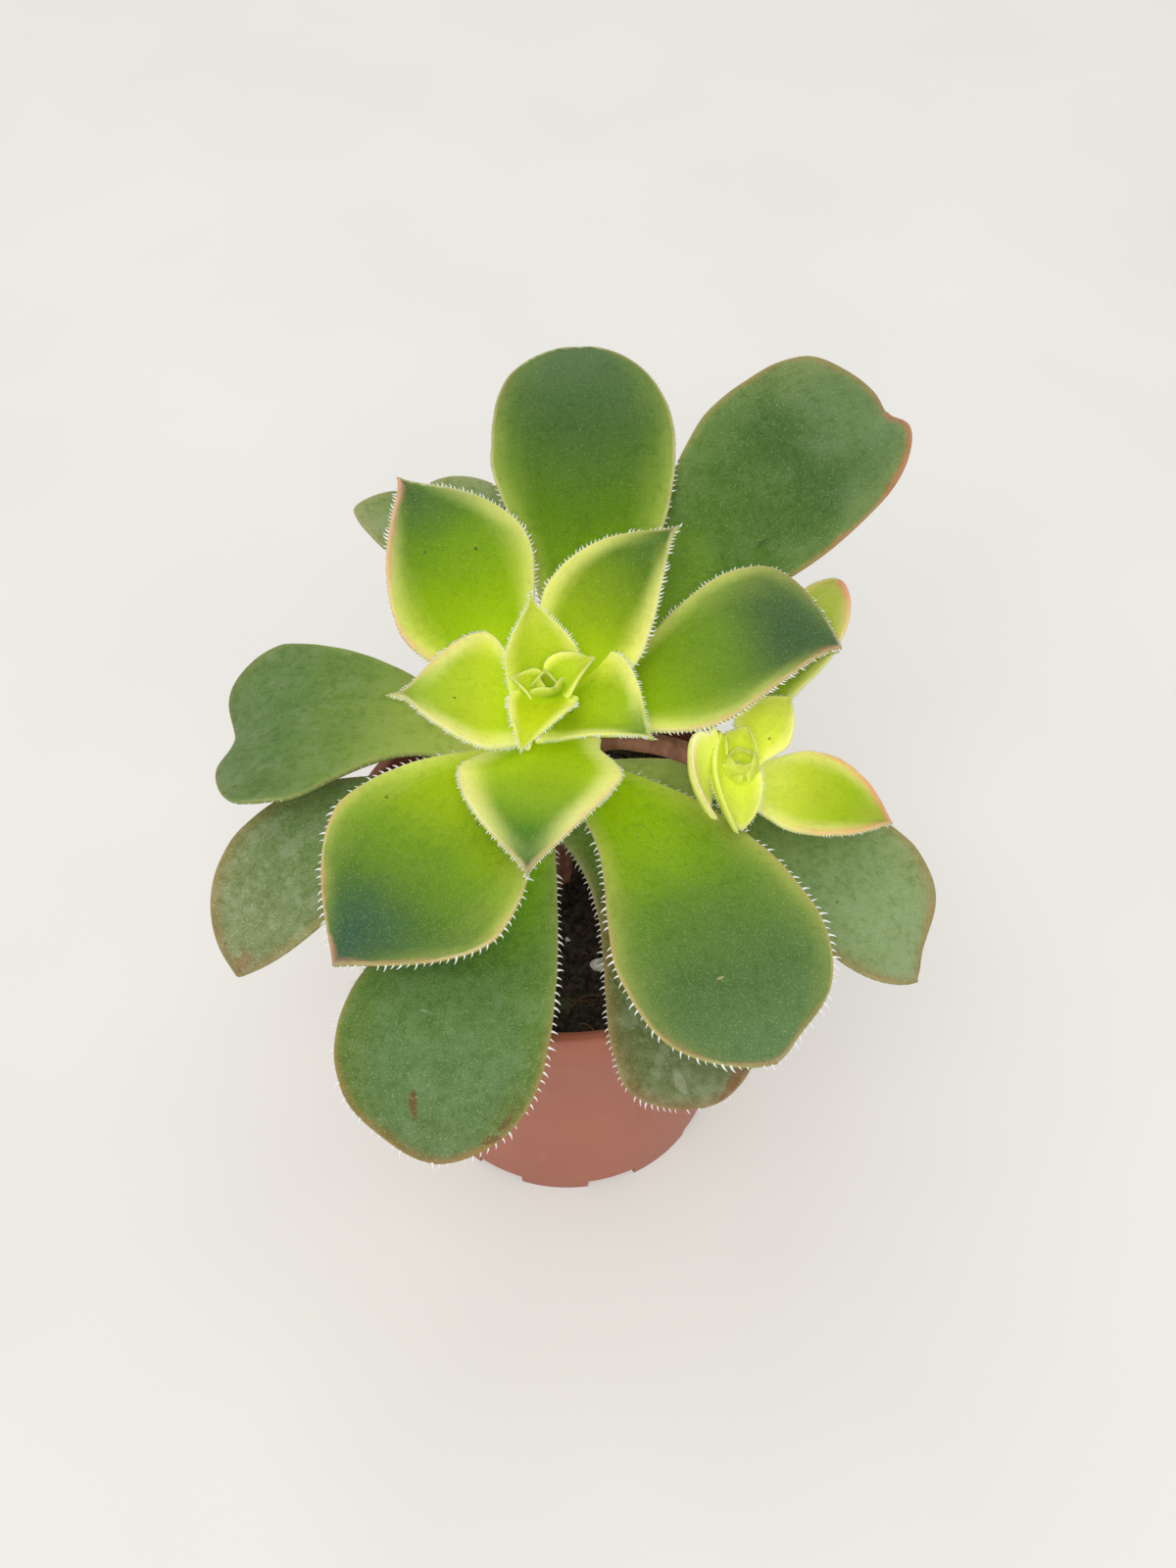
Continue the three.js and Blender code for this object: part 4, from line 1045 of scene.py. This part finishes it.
def makeBud(name, bud, skin):
    points, faces = [], []
    reading = {"along": [], "across": [], "rim": [], "upper": []}
    lines = []
    for number, values in enumerate(bud["leaves"]):
        place = {"axis": bud["axis"], "height": bud["foot"] + 0.9, "reach": bud["reach"]}
        shape = {**budLeaf, **place, **values}
        draw = np.random.default_rng(seeds["buds"] + number)
        rings, shared, margins = leafBody(shape, draw)
        rows, count = rings.shape[:2]
        faces += ringFaces(rows, count, sum(len(p) for p in points))
        points.append(rings.reshape(-1, 3) * mm)
        for key in reading:
            reading[key].append(shared[key].ravel())
        lines.append(margins)
    attributes = {key: np.concatenate(parts) for key, parts in reading.items()}
    piece = makePiece(name + "_fine", np.concatenate(points), faces, skin, attributes)
    handOver(piece, "bud_leaf_skin", name)
    fringe = []
    for number, margins in enumerate(lines):
        line = marginLine(name + "_hairs", margins, hairsFrom["buds"])
        fringe.append(growHairs(youngHairs, line, hairLook["bud"], seeds["budHairs"] + number))
    handOver(joinPieces(name + "_hairs", fringe), "bud_leaf_skin")


for name, bud in buds.items():
    makeBud(name, bud, leafSkin(name + "_skin", budSkins[name]))
print("buds made")


# The bark: rings left by fallen leaves on the main stem, and a smoother branch.
def splinePoints(points, steps):
    knots = np.array(points, float)
    knots = np.vstack([2 * knots[0] - knots[1], knots, 2 * knots[-1] - knots[-2]])
    found = []
    for i in range(1, len(knots) - 2):
        a, b, c, d = knots[i - 1:i + 3]
        for t in np.linspace(0, 1, steps, endpoint=False):
            found.append(0.5 * (2 * b + (c - a) * t + (2 * a - 5 * b + 4 * c - d) * t * t
                                + (3 * b - a - 3 * c + d) * t ** 3))
    return np.array(found + [knots[-2]])


def tubeBody(path, radii, sides):
    tangents = np.gradient(path, axis=0)
    tangents /= np.linalg.norm(tangents, axis=1)[:, None]
    side = np.cross(tangents, [0.13, 0.99, 0.05])
    side /= np.linalg.norm(side, axis=1)[:, None]
    other = np.cross(tangents, side)
    angles = np.linspace(0, 2 * math.pi, sides, endpoint=False)
    ring = np.cos(angles)[None, :, None] * side[:, None] + np.sin(angles)[None, :, None] * other[:, None]
    return path[:, None] + ring * radii.reshape(len(path), -1)[..., None]


def barkFinish():
    bark = Finish("stemBark", {"Specular IOR Level": 0.3})
    place = bark.place()
    height = bark.node("ShaderNodeSeparateXYZ", {}, {"Vector": place}, "Z")
    streaks = bark.noise(bark.stretched(place, (1, 1, 0.25)), 1.2, 4)
    blotch = bark.noise(place, 3.5, 3)
    colour = bark.mix(bark.fade(streaks, -0.25, 0.25), tint(132, 88, 72), tint(176, 122, 104))
    colour = bark.mix(bark.fade(blotch, 0.05, 0.25) * 0.6, colour, tint(176, 122, 106))
    green = bark.fade(height + blotch * 0.006, 0.058, 0.068)
    outward = bark.node("ShaderNodeSeparateXYZ", {}, {"Vector": place}, "X")
    green = green * bark.fade(outward, 0.003, 0.0)
    colour = bark.mix(green * 0.8, colour, tint(118, 128, 70))
    return bark.finish(colour, 0.7 + streaks * 0.2, streaks + blotch, 0.25)


def makeStem():
    sides, branchSides = stem["sides"], stem["branchSides"]
    z = np.linspace(stem["foot"], stemAxes["stem"]["top"], stem["steps"])
    x, y = stemAxes["stem"]["at"]
    trunk = np.stack([np.full_like(z, x), np.full_like(z, y), z], -1)
    angles = np.linspace(0, 2 * math.pi, sides, endpoint=False)
    swell = stem["rings"] * np.abs(np.sin((z[:, None] * 1.45 + 0.5 * angles[None] / math.pi))) ** 6
    knobs = stem["knobs"] * np.sin(3 * angles[None] + z[:, None] * 0.7)
    radii = radiusAt(stemAxes["stem"], z)[:, None] - stem["knobs"] + swell + knobs
    branchPath = splinePoints(stem["branch"], 16)
    share = np.linspace(0, 1, len(branchPath))
    branchRadius = stemAxes["offset"]["radius"]
    narrowing = stemAxes["offset"]["tipRadius"] - branchRadius
    slim = branchRadius + narrowing * smoothStep(share, 0.7, 1)
    pinch = stem["pinches"] * np.abs(np.sin(share * 20)) ** 5
    branch = tubeBody(branchPath, (slim + pinch)[:, None] * np.ones((1, branchSides)), branchSides)
    body = tubeBody(trunk, radii, sides)
    points = np.concatenate([body.reshape(-1, 3), branch.reshape(-1, 3)]) * mm
    faces = ringFaces(len(z), sides) + ringFaces(len(branchPath), branchSides, len(z) * sides)
    piece = makePiece("forked_stem_fine", points, faces, barkFinish())
    remesh = piece.modifiers.new("joined", "REMESH")
    remesh.mode = "VOXEL"
    remesh.voxel_size = stem["voxel"] * mm
    remesh.use_smooth_shade = True
    soften = piece.modifiers.new("soft", "SMOOTH")
    soften.iterations = 2
    handOver(settle(piece), "stem_bark", "forked_stem")


makeStem()
print("stem made")


# The pot, in millimetres: the solids' radii and heights, with rounded edges.
pot = {
    "height": 50, "rim": 27.5, "base": 19.8, "collar": 6.4, "step": 0.9, "taper": 0.4, "wall": 1.1,
    "floor": 3, "notches": 8, "notchWidth": 6.6, "notchHeight": 2.2, "notchDepth": 4.5, "notchTurn": -72,
    "drainRadius": 2, "drainCircle": 12.5, "sides": 192,
}


def wallRadius(z):
    top = pot["rim"] - pot["taper"] - pot["step"]
    return pot["base"] + (top - pot["base"]) * z / (pot["height"] - pot["collar"])


# Rounds the corners of an outline, each by its own radius.
def rounded(corners, steps=5):
    found = []
    for i, (r, z, radius) in enumerate(corners):
        here = np.array([r, z], float)
        if radius == 0 or i in (0, len(corners) - 1):
            found.append(here)
            continue
        before = np.array(corners[i - 1][:2], float) - here
        after = np.array(corners[i + 1][:2], float) - here
        a = here + before / np.linalg.norm(before) * radius
        b = here + after / np.linalg.norm(after) * radius
        for t in np.linspace(0, 1, steps):
            found.append((1 - t) ** 2 * a + 2 * t * (1 - t) * here + t * t * b)
    return np.array(found)


def potProfile():
    foot = pot["height"] - pot["collar"]
    top, rim, floor = pot["height"], pot["rim"], pot["floor"]
    inside = wallRadius(top) - pot["wall"]
    corners = [
        (0, 0, 0), (wallRadius(0), 0, 0.5), (wallRadius(10), 10, 0), (wallRadius(25), 25, 0),
        (wallRadius(foot), foot - 0.5, 0.2), (rim - pot["taper"], foot, 0.3), (rim, top, 0.4),
        (inside, top, 0.3), (wallRadius(25) - pot["wall"], 25, 0),
        (wallRadius(floor) - pot["wall"], floor, 0.7), (0, floor, 0),
    ]
    return rounded(corners)


# inside is painted shade for the pot's inner wall and floor.
potColours = {
    "dark": (164, 93, 71), "light": (174, 102, 79), "streak": (190, 130, 108), "grain": (198, 142, 118),
    "inside": (128, 70, 60), "foot": (140, 96, 84),
}


def potFinish():
    clay = Finish("terracottaPlastic", {"Specular IOR Level": 0.4})
    colours = {key: tint(*value) for key, value in potColours.items()}
    place = clay.place()
    x, y, z = [clay.node("ShaderNodeSeparateXYZ", {}, {"Vector": place}, axis) for axis in "XYZ"]
    blotch = clay.noise(place, 14, 3)
    grain = clay.noise(place, 0.7, 3)
    streak = clay.noise(clay.stretched(place, (1, 1, 0.12)), 2.5, 3)
    colour = clay.mix(clay.fade(blotch, -0.25, 0.25), colours["dark"], colours["light"])
    colour = clay.mix(clay.fade(streak, 0.05, 0.3) * 0.25, colour, colours["streak"])
    colour = clay.mix(clay.fade(grain, 0.1, 0.3) * 0.18, colour, colours["grain"])
    radius = clay.math("SQRT", x * x + y * y)
    slope = (wallRadius(pot["height"]) - wallRadius(0)) / pot["height"]
    # Painted shade: the pot's inner wall and floor are darkened towards the inside colour.
    insideShade = clay.fade(z * slope + (wallRadius(0) - 0.35) * mm - radius, 0.0, 0.0004)
    colour = clay.mix(insideShade * 0.55, colour, colours["inside"])
    # The pot turns darker over its lowest 1.8 millimetres, towards the foot colour.
    colour = clay.mix(clay.fade(z, 0.0018, 0.0) * 0.3, colour, colours["foot"])
    return clay.finish(colour, 0.5 + grain * 0.15 + blotch * 0.1, grain + streak * 0.6, 0.05)


def makeTool(name, points, faces):
    return makePiece(name, np.array(points) * mm, faces, bpy.data.materials[0])


def makePot():
    profile = potProfile()
    sides = pot["sides"]
    angles = np.linspace(0, 2 * math.pi, sides, endpoint=False)
    body = profile[1:-1]
    rings = np.stack([body[:, :1] * np.cos(angles), body[:, :1] * np.sin(angles),
                      body[:, 1:] * np.ones_like(angles)], -1)
    piece = makePiece("pot_fine", rings.reshape(-1, 3) * mm, ringFaces(len(body), sides), potFinish())
    tools = []
    for i in range(pot["notches"]):
        angle = math.radians(pot["notchTurn"] + 360 / pot["notches"] * i)
        out = np.array([math.cos(angle), math.sin(angle), 0])
        side = np.array([-out[1], out[0], 0]) * pot["notchWidth"] / 2
        near, far = out * (pot["base"] - pot["notchDepth"]), out * (pot["base"] + 3)
        corners = [near - side, far - side, far + side, near + side]
        low = [corner + np.array([0, 0, -1]) for corner in corners]
        high = [corner + np.array([0, 0, pot["notchHeight"]]) for corner in corners]
        walls = [(k, (k + 1) % 4, (k + 1) % 4 + 4, k + 4) for k in range(4)]
        faces = [(3, 2, 1, 0), (4, 5, 6, 7)] + walls
        tools.append(makeTool(f"notch{i}", low + high, faces))
        if i % 2 == 0:
            centre = out * pot["drainCircle"]
            turn = np.linspace(0, 2 * math.pi, 32, endpoint=False)
            ring = np.stack([np.cos(turn), np.sin(turn), 0 * turn], -1) * pot["drainRadius"] + centre
            column = np.concatenate([ring + [0, 0, -1], ring + [0, 0, pot["floor"] + 1]])
            tools.append(makeTool(f"drain{i}", column, ringFaces(2, 32)))
    for tool in tools:
        cut = piece.modifiers.new(tool.name, "BOOLEAN")
        cut.operation = "DIFFERENCE"
        cut.solver = "EXACT"
        cut.object = tool
    settle(piece)
    for tool in tools:
        bpy.data.objects.remove(tool)
    piece.data.set_sharp_from_angle(angle=math.radians(35))
    handOver(piece, "terracotta_plastic", "pot")


makePot()
print("pot made")


# The potting mix: an uneven body with loose crumbs, fibres and small white grains on it.
mix = {
    "height": 45, "bump": 0.45, "fine": 0.22, "gap": 0.3, "rings": 70, "sides": 150,
    "crumbs": {"Density": 1500000.0, "Small": 0.25, "Large": 1.25, "Seed": 4},
    "fibres": {"Density": 90000.0, "Small": 1.4, "Large": 4.5, "Seed": 9},
    "flecks": {"Density": 9000.0, "Small": 0.4, "Large": 1.1, "Seed": 21},
}


def mixLevel(x, y):
    waves = np.sin(0.9 * x + 1.3) * np.cos(0.7 * y) + 0.6 * np.sin(1.7 * x - 1.1 * y)
    return mix["height"] + mix["bump"] * (waves + 0.5 * np.cos(2.3 * y + 0.4 * x))


def mixFinish():
    peat = Finish("pottingMix", {"Specular IOR Level": 0.3})
    place = peat.place()
    blotch = peat.noise(place, 4, 3)
    crumb = peat.noise(place, 0.8, 4)
    colour = peat.mix(peat.fade(crumb, -0.2, 0.25), tint(30, 26, 22), tint(78, 66, 54))
    colour = peat.mix(peat.fade(blotch, 0.05, 0.3) * 0.5, colour, tint(96, 74, 56))
    green = peat.noise(place, 5.5, 1)
    colour = peat.mix(peat.fade(green, 0.2, 0.32) * 0.4, colour, tint(84, 98, 54))
    return peat.finish(colour, 0.85 + crumb * 0.2, crumb + blotch, 0.5)


def fibreFinish():
    fibre = Finish("peatFibre", {"Specular IOR Level": 0.3})
    place = fibre.place()
    uneven = fibre.noise(place, 3, 3)
    colour = fibre.mix(fibre.fade(uneven, -0.2, 0.2), tint(86, 58, 38), tint(148, 112, 80))
    return fibre.finish(colour, 0.8 + uneven * 0.2, uneven, 0.1)


def perliteFinish():
    white = Finish("perliteWhite", {"Specular IOR Level": 0.3, "Subsurface Weight": 0.1,
                                    "Subsurface Scale": 0.4 * mm})
    place = white.place()
    pores = white.noise(place, 0.5, 4)
    stain = white.noise(place, 1.4, 2)
    colour = white.mix(white.fade(pores, -0.25, 0.1), tint(176, 168, 150), tint(238, 236, 228))
    colour = white.mix(white.fade(stain, 0.1, 0.3) * 0.5, colour, tint(150, 128, 100))
    return white.finish(colour, 0.85 + pores * 0.1, pores, 0.25)


mixPeat, mixFibre, mixPerlite = mixFinish(), fibreFinish(), perliteFinish()


def scatterTree(name, instanceOf, material, lie):
    kinds = {"Density": "NodeSocketFloat", "Small": "NodeSocketFloat", "Large": "NodeSocketFloat",
             "Seed": "NodeSocketInt"}
    tree = Tree(name, kinds)
    seed = tree.size("Seed")
    sockets = {"Mesh": tree.given.outputs["Geometry"], "Density": tree.size("Density"), "Seed": seed}
    spots = tree.node("GeometryNodeDistributePointsOnFaces", {"distribute_method": "RANDOM"}, sockets)
    turn = tree.draw((-lie, -lie, -3.14), (lie, lie, 3.14), seed, "FLOAT_VECTOR")
    turn = tree.node("FunctionNodeEulerToRotation", {}, {0: turn})[0]
    share = tree.sum("POWER", tree.draw(0.0, 1.0, seed), 2.5)
    span = tree.sum("SUBTRACT", tree.size("Large"), tree.size("Small"))
    scale = tree.sum("ADD", tree.size("Small"), tree.sum("MULTIPLY", share, span))
    sockets = {"Points": spots[0], "Instance": instanceOf(tree), "Rotation": turn, "Scale": scale}
    tree.close(tree.node("GeometryNodeInstanceOnPoints", {}, sockets)[0], material)
    return tree


def crumbShape(tree):
    ball = tree.node("GeometryNodeMeshIcoSphere", {}, {"Radius": 0.5, "Subdivisions": 1})[0]
    shift = tree.draw((-0.16, -0.16, -0.22), (0.16, 0.16, 0.16), 3, "FLOAT_VECTOR")
    return tree.node("GeometryNodeSetPosition", {}, {"Geometry": ball, "Offset": shift})[0]


def fibreShape(tree):
    sockets = {"Resolution": 6, "Start": (-0.5, 0, 0.02), "Middle": (0.1, 0.3, 0.22),
               "End": (0.5, -0.06, 0.03)}
    bent = tree.node("GeometryNodeCurveQuadraticBezier", {}, sockets)[0]
    section = tree.node("GeometryNodeCurvePrimitiveCircle", {}, {"Resolution": 4, "Radius": 0.028})[0]
    sockets = {"Curve": bent, "Profile Curve": section, "Fill Caps": True}
    return tree.node("GeometryNodeCurveToMesh", {}, sockets)[0]


def makeMix():
    bottom = pot["floor"] + mix["gap"]
    edge = wallRadius(mix["height"]) - pot["wall"] - mix["gap"]
    radii = edge * np.linspace(0, 1, mix["rings"] + 1)[1:]
    angles = np.linspace(0, 2 * math.pi, mix["sides"], endpoint=False)
    x, y = radii[:, None] * np.cos(angles), radii[:, None] * np.sin(angles)
    fine = mix["fine"] * np.sin(3.1 * x + 1.9 * np.sin(2.3 * y)) * np.cos(2.7 * y + 1.4 * np.sin(1.9 * x))
    top = np.stack([x, y, mixLevel(x, y) + fine], -1)
    foot = wallRadius(bottom) - pot["wall"] - mix["gap"]
    low = np.stack([foot * np.cos(angles), foot * np.sin(angles), np.full_like(angles, bottom)], -1)
    rings = np.concatenate([top, low[None]])
    faces = ringFaces(len(rings), mix["sides"])
    body = makePiece("potting_mix_fine", rings.reshape(-1, 3) * mm, faces, mixPeat)
    surface = ringFaces(len(top), mix["sides"])[:-1]
    pieces = {}
    kinds = (("crumbs", crumbShape, mixPeat, 3.1), ("fibres", fibreShape, mixFibre, 0.3),
             ("flecks", crumbShape, mixPerlite, 3.1))
    for key, shape, material, lie in kinds:
        sheet = makePiece("mix_" + key, top.reshape(-1, 3) * mm, surface, material)
        values = {k: v * mm if k in ("Small", "Large") else v for k, v in mix[key].items()}
        pieces[key] = scatterTree("mix " + key, shape, material, lie).fit(sheet, values)
    handOver(body, "potting_mix", "potting_mix")
    handOver(pieces["crumbs"], "potting_mix")
    handOver(pieces["fibres"], "potting_mix")
    handOver(pieces["flecks"], "perlite")


makeMix()
print("potting mix made")


# The loose white grains, where the solids have them. Their dents are in shares of their size.
grainForm = {"ways": 9, "waves": 5, "dent": 0.02}


def makeGrain(node, number):
    low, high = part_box(node)
    centre, size = np.array((low + high) / 2), np.array(high - low)
    ball = bmesh.new()
    bmesh.ops.create_icosphere(ball, subdivisions=4, radius=0.5)
    draw = np.random.default_rng(seeds["grains"] + number)
    ways = draw.normal(size=(grainForm["ways"], 3))
    points = []
    for vertex in ball.verts:
        way = np.array(vertex.co)
        waves = sum(np.sin(grainForm["waves"] * way @ w + i) for i, w in enumerate(ways))
        points.append(centre + way * size * (1.0 + waves * grainForm["dent"]))
    faces = [tuple(v.index for v in face.verts) for face in ball.faces]
    ball.free()
    piece = makePiece(node + "_fine", points, faces, mixPerlite)
    handOver(piece, "perlite", node)


for number in (1, 2, 3):
    makeGrain(f"perlite_grain_{number}", number)
print("grains made")


# The stage: a pale floor, a soft even sky and two large soft lamps.
stage = {
    "floor": 1.6,
    "sky": (1.0, 1.0, 1.0),
    "skyStrength": 0.6,
    "lamps": [
        {"name": "overhead", "at": (-0.2, 0.25, 0.9), "size": 0.8, "watts": 1.8},
        {"name": "front", "at": (-0.08, -0.6, 0.85), "size": 0.7, "watts": 5.2},
    ],
    "lampColour": (1.0, 0.99, 0.95),
    "floorGlow": {"Emission Color": tint(238, 236, 230), "Emission Strength": 0.38},
}


def makeStage():
    paper = Finish("paleFloor", {"Specular IOR Level": 0.1, **stage["floorGlow"]})
    place = paper.place()
    cloud = paper.noise(place, 60, 2)
    colour = paper.mix(paper.fade(cloud, -0.3, 0.3), tint(184, 183, 180), tint(190, 189, 185))
    material = paper.finish(colour, 0.8 + cloud * 0.1, cloud, 0.02)
    half = stage["floor"] / 2
    corners = [(-half, -half, 0), (half, -half, 0), (half, half, 0), (-half, half, 0)]
    floor = makePiece("floor", corners, [(0, 1, 2, 3)], material)
    world = bpy.data.worlds.new("sky")
    world.use_nodes = True
    sky = world.node_tree.nodes["Background"]
    sky.inputs["Color"].default_value = (*stage["sky"], 1)
    sky.inputs["Strength"].default_value = stage["skyStrength"]
    bpy.context.scene.world = world
    for lamp in stage["lamps"]:
        data = bpy.data.lights.new(lamp["name"], "AREA")
        data.size = lamp["size"]
        data.energy = lamp["watts"]
        data.color = stage["lampColour"]
        made = bpy.data.objects.new(lamp["name"], data)
        made.location = lamp["at"]
        made.rotation_euler = (-Vector(lamp["at"])).to_track_quat("-Z", "Y").to_euler()
        bpy.context.collection.objects.link(made)


makeStage()
bpy.context.scene.view_settings.view_transform = "Standard"
print("stage made")
